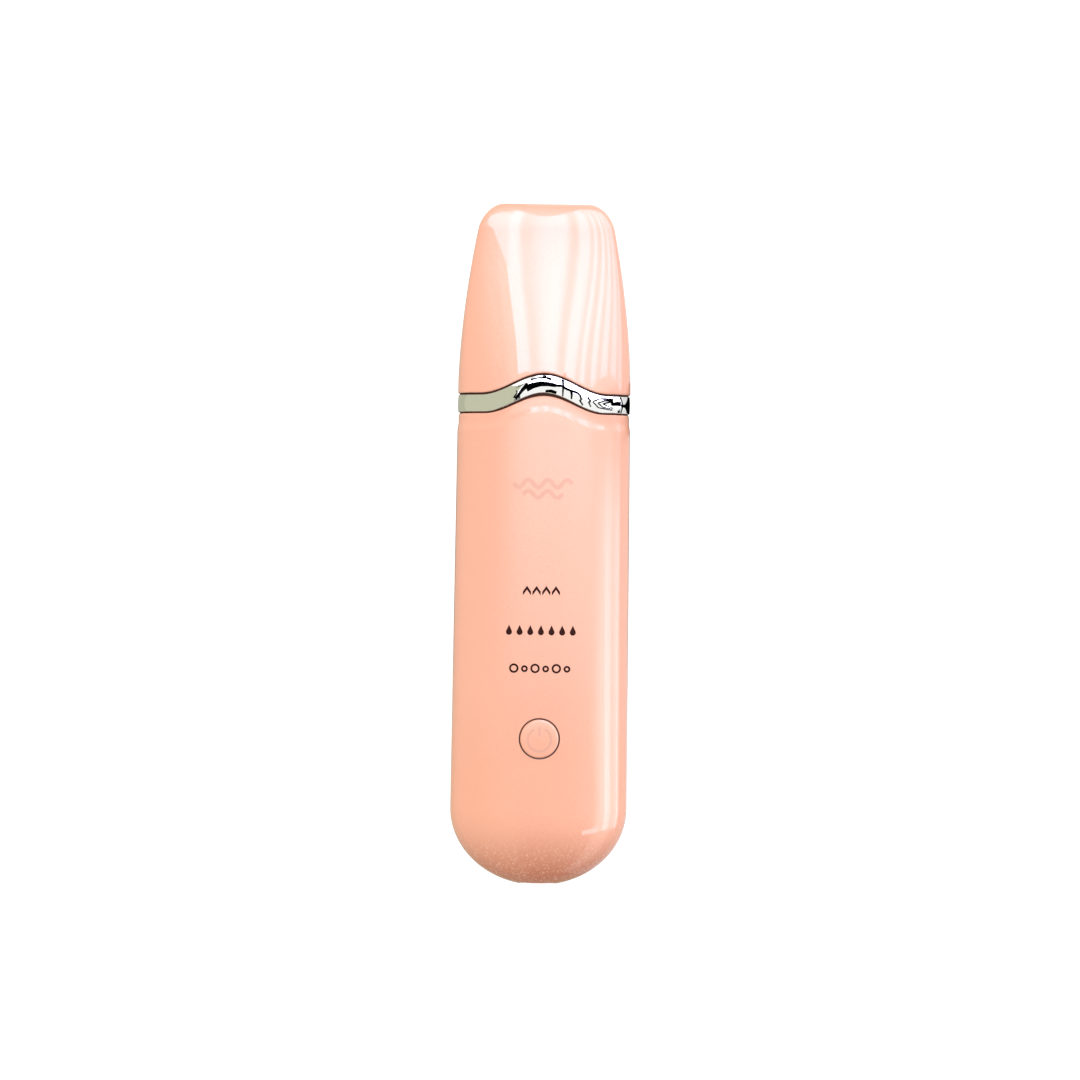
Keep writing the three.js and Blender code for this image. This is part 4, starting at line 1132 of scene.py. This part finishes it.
def slats(first, last, gaps):
    """Stops for a span that fades to the side. gaps are (lean, half-width, share of the light left)."""
    soft = 0.012
    stops = [(first, 1.0)]
    for lean, half, share in gaps:
        low, high = lean - half, lean + half
        stops += [(low - soft, 1.0), (low, share), (high, share), (high + soft, 1.0)]
    return [(lean, dimmed(share / (1 + 0.5 * max(lean, 0)))) for lean, share in stops + [(last, 1.0)]]


def on_band(x, share):
    """A place of the band in plan, from a share of its width from its lower edge."""
    return x, mix(float(band_low(x)), float(band_high(x)), share)


def band_surface(x, y):
    return front_height(x, y) - band_crown((y - band_low(x)) / (band_high(x) - band_low(x)))


def mirrored(x, y, height):
    """The place on a level plane that shows to the camera in the band at a place in plan."""
    normal = surface_normal(band_surface, x, y)
    start = np.array([x, y, float(band_surface(x, y))])
    view = start - (0, 0, CAMERA_Z)
    ray = view - 2 * view.dot(normal) * normal
    return start + ray * (height - start[2]) / ray[2]


def wire(name, points, width):
    """A flag that shows in the band as a line. points are (x, share of the band's width)."""
    p = np.array([on_band(x, share) for x, share in points])
    line = np.concatenate([np.linspace(a, b, 5)[:-1] for a, b in zip(p[:-1], p[1:])] + [p[-1:]])
    side = sideways(line) * width / 2 * np.linspace(1.15, 0.6, len(line))[:, None]
    card(name, [[mirrored(*place, WIRE_Z) for place in pair] for pair in zip(line + side, line - side)], dark)


def over_band(name, x_range, shares, glow, lift):
    """A card that shows in one part of the band. x_range holds numbers or functions of the share."""
    rows = []
    for share in shares:
        low, high = (x(share) if callable(x) else x for x in x_range)
        rows.append([mirrored(*on_band(x, share), WIRE_Z + lift) for x in np.linspace(low, high, 16)])
    card(name, rows, glow)


def floor_ring(name, first, last, reaches, radiance, colour=(1, 1, 1)):
    """A dim card on the floor round one side of the object, seen only in its steep sides."""
    turns = np.radians(np.linspace(first, last, 24))
    card(name, [[(reach * 0.32 * math.cos(turn), reach * math.sin(turn), 0.0) for reach in reaches]
                for turn in turns], Glow(name, radiance, colour))


# ---- studio: floor and lamps

FLOOR_HALF, FLOOR_Z = 30000, -0.05
paper = Material("floor_paper", (0.3, 0.3, 0.3), 0.9, 0.0, Specular_IOR_Level=0.0,
                 Emission_Color=(1, 1, 1), Emission_Strength=0.93)
floor = new_mesh("floor", [(x * FLOOR_HALF, y * FLOOR_HALF, FLOOR_Z)
                           for x, y in ((-1, -1), (1, -1), (1, 1), (-1, 1))], [(0, 1, 2, 3)])
floor.data.materials.append(paper.material)

world = bpy.data.worlds.new("studio")
SCENE.world = world
world.use_nodes = True
world.node_tree.nodes["Background"].inputs["Color"].default_value = (1.0, 0.985, 0.97, 1)
world.node_tree.nodes["Background"].inputs["Strength"].default_value = 0.5
world.cycles_visibility.glossy = False

for name, direction, energy, colour in (("key", (0.12, 0.75, 1), 2.0, (1.0, 0.98, 0.96)),
                                        ("fill_left", (-1, 0, 0.45), 0.45, (1, 1, 1)),
                                        ("fill_right", (1, 0, 0.4), 0.28, (1, 1, 1))):
    lamp = bpy.data.lights.new(name, "SUN")
    lamp.energy, lamp.angle, lamp.color = energy, math.radians(40), colour
    sun = new_object(name, lamp)
    sun.rotation_mode = "QUATERNION"
    sun.rotation_quaternion = Vector(direction).to_track_quat("Z", "Y")
    sun.visible_glossy = False

# ---- studio: overhead and walls

# the pearl's veil comes from this soft light, which is stronger towards the cap and away from the wall
overhead = Glow("overhead", 1.0)
veil = overhead.ramp(1, FAR, [(v, dimmed(share, (0.95, 0.97, 1.05))) for v, share in
                              ((-0.14, 0.0), (-0.1, 0.1), (-0.08, 0.7), (-0.04, 1.4), (0.0, 2.1), (0.03, 2.7),
                               (0.07, 3.2), (0.2, 2.9), (0.3, 1.5))])
across = overhead.axes()[0]
away = overhead.span(across, -0.35 * FAR, -0.01 * FAR, smooth=True)
aside = overhead.span(across, 0.25 * FAR, 0.62 * FAR, smooth=True)
lit_away = overhead.mix_colour(away, GREY_GREEN, veil)
overhead.set(Color=overhead.mix_colour(aside, lit_away, (1.2, 1.2, 1.2)))

nested = Glow("nested", 1.3)
rings = nested.node("TexWave", {"Vector": nested.place((1, 3, 1)), "Scale": 0.00045, "Distortion": 3.0,
                                "Detail Scale": 0.8}, wave_type="RINGS", rings_direction="SPHERICAL")
nested.set(Color=nested.span(rings["Fac"], 0.55, 0.75))

left_wall = Glow("left_wall", 1.0, GREY_GREEN)
right_wall = Glow("right_wall", 1.2)
sky_card("overhead", (-0.32, 0.62), (-0.14, 0.3), overhead)
sky_card("near_reflector", (-0.1, 0.6), (-0.42, -0.14), Glow("near_reflector", 0.3))
sky_card("left_wall", (-25, -0.32), (-9, 9), left_wall, 24)
sky_card("left_far", (-0.24, -0.14), (0.3, 9), Glow("left_far", 1.0))
sky_card("left_near", (-0.32, -0.1), (-9, -0.14), left_wall)
sky_card("right_wall", (0.62, 1.35), (-3, 4), right_wall)
sky_card("right_near", (0.5, 0.62), (-3, -0.14), right_wall)
sky_card("right_beyond", (0.5, 0.62), (0.3, 4), right_wall)
sky_card("right_far", (1.35, 9), (-9, 9), nested)
card("left_skirt", [[(-285, y, z) for y in (-900, 0, 900)] for z in (0, 40)], left_wall)

# ---- studio: window

WINDOW_Z = 1200
gaps = [(-0.03, 0.014, 0.5), (0.065, 0.02, 0.42), (0.20, 0.02, 0.5), (0.33, 0.035, 0.38), (0.54, 0.055, 0.45),
        (0.92, 0.11, 0.4), (1.9, 0.3, 0.5)]
window = Glow("window", 7.4)
slatted = window.ramp(0, WINDOW_Z, slats(-0.14, 6.0, gaps))
rise = window.span(window.axes()[1], 0.2 * WINDOW_Z, 0.36 * WINDOW_Z, smooth=True)
shaded = window.mix_colour(rise, (0.25, 0.25, 0.25), slatted)
window.set(Color=window.mix_colour(1.0, shaded, WINDOW_BLUE, "MULTIPLY"))


def window_span(u):
    """The window's lowest and highest lean to +Y where it leans u to +X."""
    return 0.2 + 0.22 * float(ease((u - 0.2) / 0.6)), 0.85 + 9 * min(abs(u), 0.25)


window_u = [*np.linspace(-0.14, 0.5, 24), *np.linspace(0.6, 6.0, 12)]
card("window", [[(u * WINDOW_Z, mix(*window_span(u), share) * WINDOW_Z, WINDOW_Z) for u in window_u]
                for share in np.linspace(0, 1, 20)], window)
# a small reflector beside the tip's left corner
outline = [(-12.6, 83.6), (-15.8, 86.2), (-19.5, 87.8), (-27.0, 94.0), (-35.0, 101.0), (-36.0, 116.0)]
card("corner_reflector", [[(mix(x, -12.2, s), mix(y, 83.6 + 6.5 * i, s), 30) for s in np.linspace(0, 1, 4)]
                          for i, (x, y) in enumerate(outline)], Glow("corner_reflector", 5.2, WINDOW_BLUE))

# ---- studio: over the band

# flags and wires where the camera and its stand would show in the metal
wire("camera_flag", [(-4.7, 0.44), (-3, 0.49), (-1, 0.51), (1, 0.5), (2.9, 0.5)], 1.55)
wire("wire_over", [(1.9, 0.78), (0.4, 0.84), (-1.6, 0.85), (-3.6, 0.84)], 0.6)
wire("wire_turn", [(-4.3, 0.66), (-5.1, 0.52), (-5.9, 0.42), (-6.5, 0.3), (-7.4, 0.14)], 1.0)
wire("wire_turn_2", [(-6.3, 0.14), (-7.9, 0.26), (-7.0, 0.42), (-7.3, 0.58)], 0.42)
wire("wire_sill", [(3.1, 0.1), (1.8, 0.16), (0.3, 0.12)], 0.8)
wire("wire_cross", [(4.7, 0.96), (4.9, 0.6), (4.8, 0.3), (4.8, 0.08)], 0.55)
wire("wire_post", [(6.9, 0.58), (7.1, 0.36), (7.0, 0.12)], 0.62)
wire("wire_jag", [(2.8, 0.5), (4.4, 0.59), (5.9, 0.54), (7.2, 0.58), (8.6, 0.62), (9.3, 0.55), (9.6, 0.38),
                  (9.2, 0.28), (10.0, 0.12)], 0.62)
wire("wire_jag_2", [(11.2, 0.66), (12.0, 0.5), (11.5, 0.4), (12.1, 0.2)], 0.5)
for ring in range(3):
    tip, open_by = 12.6 + 1.3 * ring, 0.33 - 0.08 * ring
    wire(f"wire_nest_{ring}", [(18.0, 0.5 + open_by), (tip + 1.6, 0.5 + 0.8 * open_by), (tip, 0.52),
                               (tip + 1.4, 0.5 - 0.7 * open_by), (17.8, 0.48 - open_by)], 0.42)
wire("wire_end", [(19.9, 0.55), (19.2, 0.57), (18.3, 0.54), (17.3, 0.5)], 1.35)

# the wall's edge in the hump's left slope, and the light over it
over_band("wall_edge", (-13.0, lambda share: -8.2 + 3.3 * share), (0.04, 0.25, 0.45, 0.7), left_wall, 0.2)
over_band("slope_light", (lambda share: 5.2 - 15.0 * share, -3.5), (0.76, 0.86, 0.96),
          Glow("slope_light", 1.6), 0.2)
# a white card just over the wires lights the lower half of the hump
hump_white = Glow("hump_reflector", 1.0)
over_band("hump_reflector", (-6.2, 14.8), (0.03, 0.25, 0.5), hump_white, 0.3)
over_band("sill_reflector", (14.6, 19.2), (0.03, 0.14, 0.26), hump_white, 0.25)
card("band_end_flag", [[(x, y, z) for y in (29, 36, 43)]
                       for x, z in ((23.6, 1), (40, 0.2), (90, 0.2), (92, 30))], dark)

# ---- studio: strip along the right edge

STRIP_X, STRIP_Z, STRIP_REACH = 20, 9, 350  # the middle of its arc, near the right edge, and its radius
LOUVRE_PITCH = 4.0
LOUVRE_GAP = 6.0
LOUVRE_DEPTH = 13.0

strip = Glow("strip", 5.7)
panes = strip.ramp(1, 1, [(y, dimmed(share, DAYLIGHT)) for y, share in
                          ((-210, 1.2), (-168, 1.3), (-166, 0.8), (-158, 0.8), (-156, 1.35), (-134, 1.35),
                           (-132, 0.75), (-127, 0.75), (-125, 1.35), (-113, 1.3), (-111, 0.8), (-108, 0.8),
                           (-106, 1.35), (-84, 1.3), (-60, 1.15), (-10, 0.95), (45, 0.7))])
streaks = strip.span(strip.noise(0.022, stretch=(1, 0.03, 1)), 0.44, 0.56)
strip.set(Color=strip.mix_colour(streaks, (0.45, 0.48, 0.54), panes))
# its inner side and its far end fade out
strip_x, strip_y, _ = strip.axes()
inner, upper = strip.span(strip_x, 155, 228, smooth=True), strip.span(strip_y, 45, 2, smooth=True)
faded = strip.node("MixShader", {0: strip.math("MULTIPLY", inner, upper), 1: strip.node("BsdfTransparent")[0],
                                 2: strip.shader.outputs[0]})
strip.show(faded[0])


def on_arc(lean, y, nearer=0.0):
    """A point of the arc that the strip follows round the handle's right edge, or of a nearer arc."""
    reach = STRIP_REACH - nearer
    return STRIP_X + reach * math.sin(lean), y, STRIP_Z + reach * math.cos(lean)


card("right_strip", [[on_arc(lean, y) for y in np.linspace(-210, 45, 12)]
                     for lean in np.radians(np.linspace(22, 77, 22))], strip)
card("strip_foot", [[on_arc(lean, y, 5) for y in (-214, -190, -172 - 22 * share)]
                    for lean, share in zip(np.radians(np.linspace(16, 32, 8)), np.linspace(1, 0, 8))],
     Glow("strip_foot", 5.0, DAYLIGHT))
# thin louvres aim the strip at the handle's edge, so that the cap's top doesn't mirror it from other sides
louvres = []
for y in np.arange(-212.0, 6.0, LOUVRE_PITCH):
    aim = float(np.interp(y, (-210, -100, 45), (-74, -71, 32)))
    for nearer in (LOUVRE_GAP, LOUVRE_GAP + LOUVRE_DEPTH):
        louvres.append([on_arc(lean, mix(y, aim, nearer / STRIP_REACH), nearer)
                        for lean in np.radians(np.linspace(20, 78, 22))])
card("strip_louvres", louvres, dark, rows_each=2)

# ---- studio: round the object

floor_ring("floor_left_near", 100, 300, (50, 90), 0.06)
floor_ring("floor_left", 100, 300, (90, 900), 0.85, GREY_GREEN)
floor_ring("floor_right_near", -60, 100, (50, 90), 0.1)
floor_ring("floor_right", -60, 100, (90, 900), 0.8)
# a pale backdrop behind the floor, for the camera alone
BACKDROP_REACH = 7500
BACKDROP_HEIGHT = 3000
backdrop = card("backdrop", [[(BACKDROP_REACH * math.cos(t), BACKDROP_REACH * math.sin(t), z)
                              for t in np.linspace(0, 2 * math.pi, 49)] for z in (0, BACKDROP_HEIGHT)],
                Glow("backdrop", 1.0))
backdrop.visible_camera = True
backdrop.visible_glossy = False

# ---- camera

DISTANCE = 0.9  # above the widest line of the object
VIEW_WIDTH = 0.2819
SENSOR = 36
camera_data = bpy.data.cameras.new("camera")
camera_data.sensor_width = SENSOR
camera_data.lens = SENSOR * DISTANCE / VIEW_WIDTH
camera_data.clip_start, camera_data.clip_end = 0.01, 50
camera = new_object("camera", camera_data)
camera.location = (-0.00057, 0.0010, SEAM_Z * MM + DISTANCE)
camera.rotation_euler = (0, 0, math.radians(0.82))
SCENE.camera = camera
SCENE.view_settings.view_transform = "Standard"
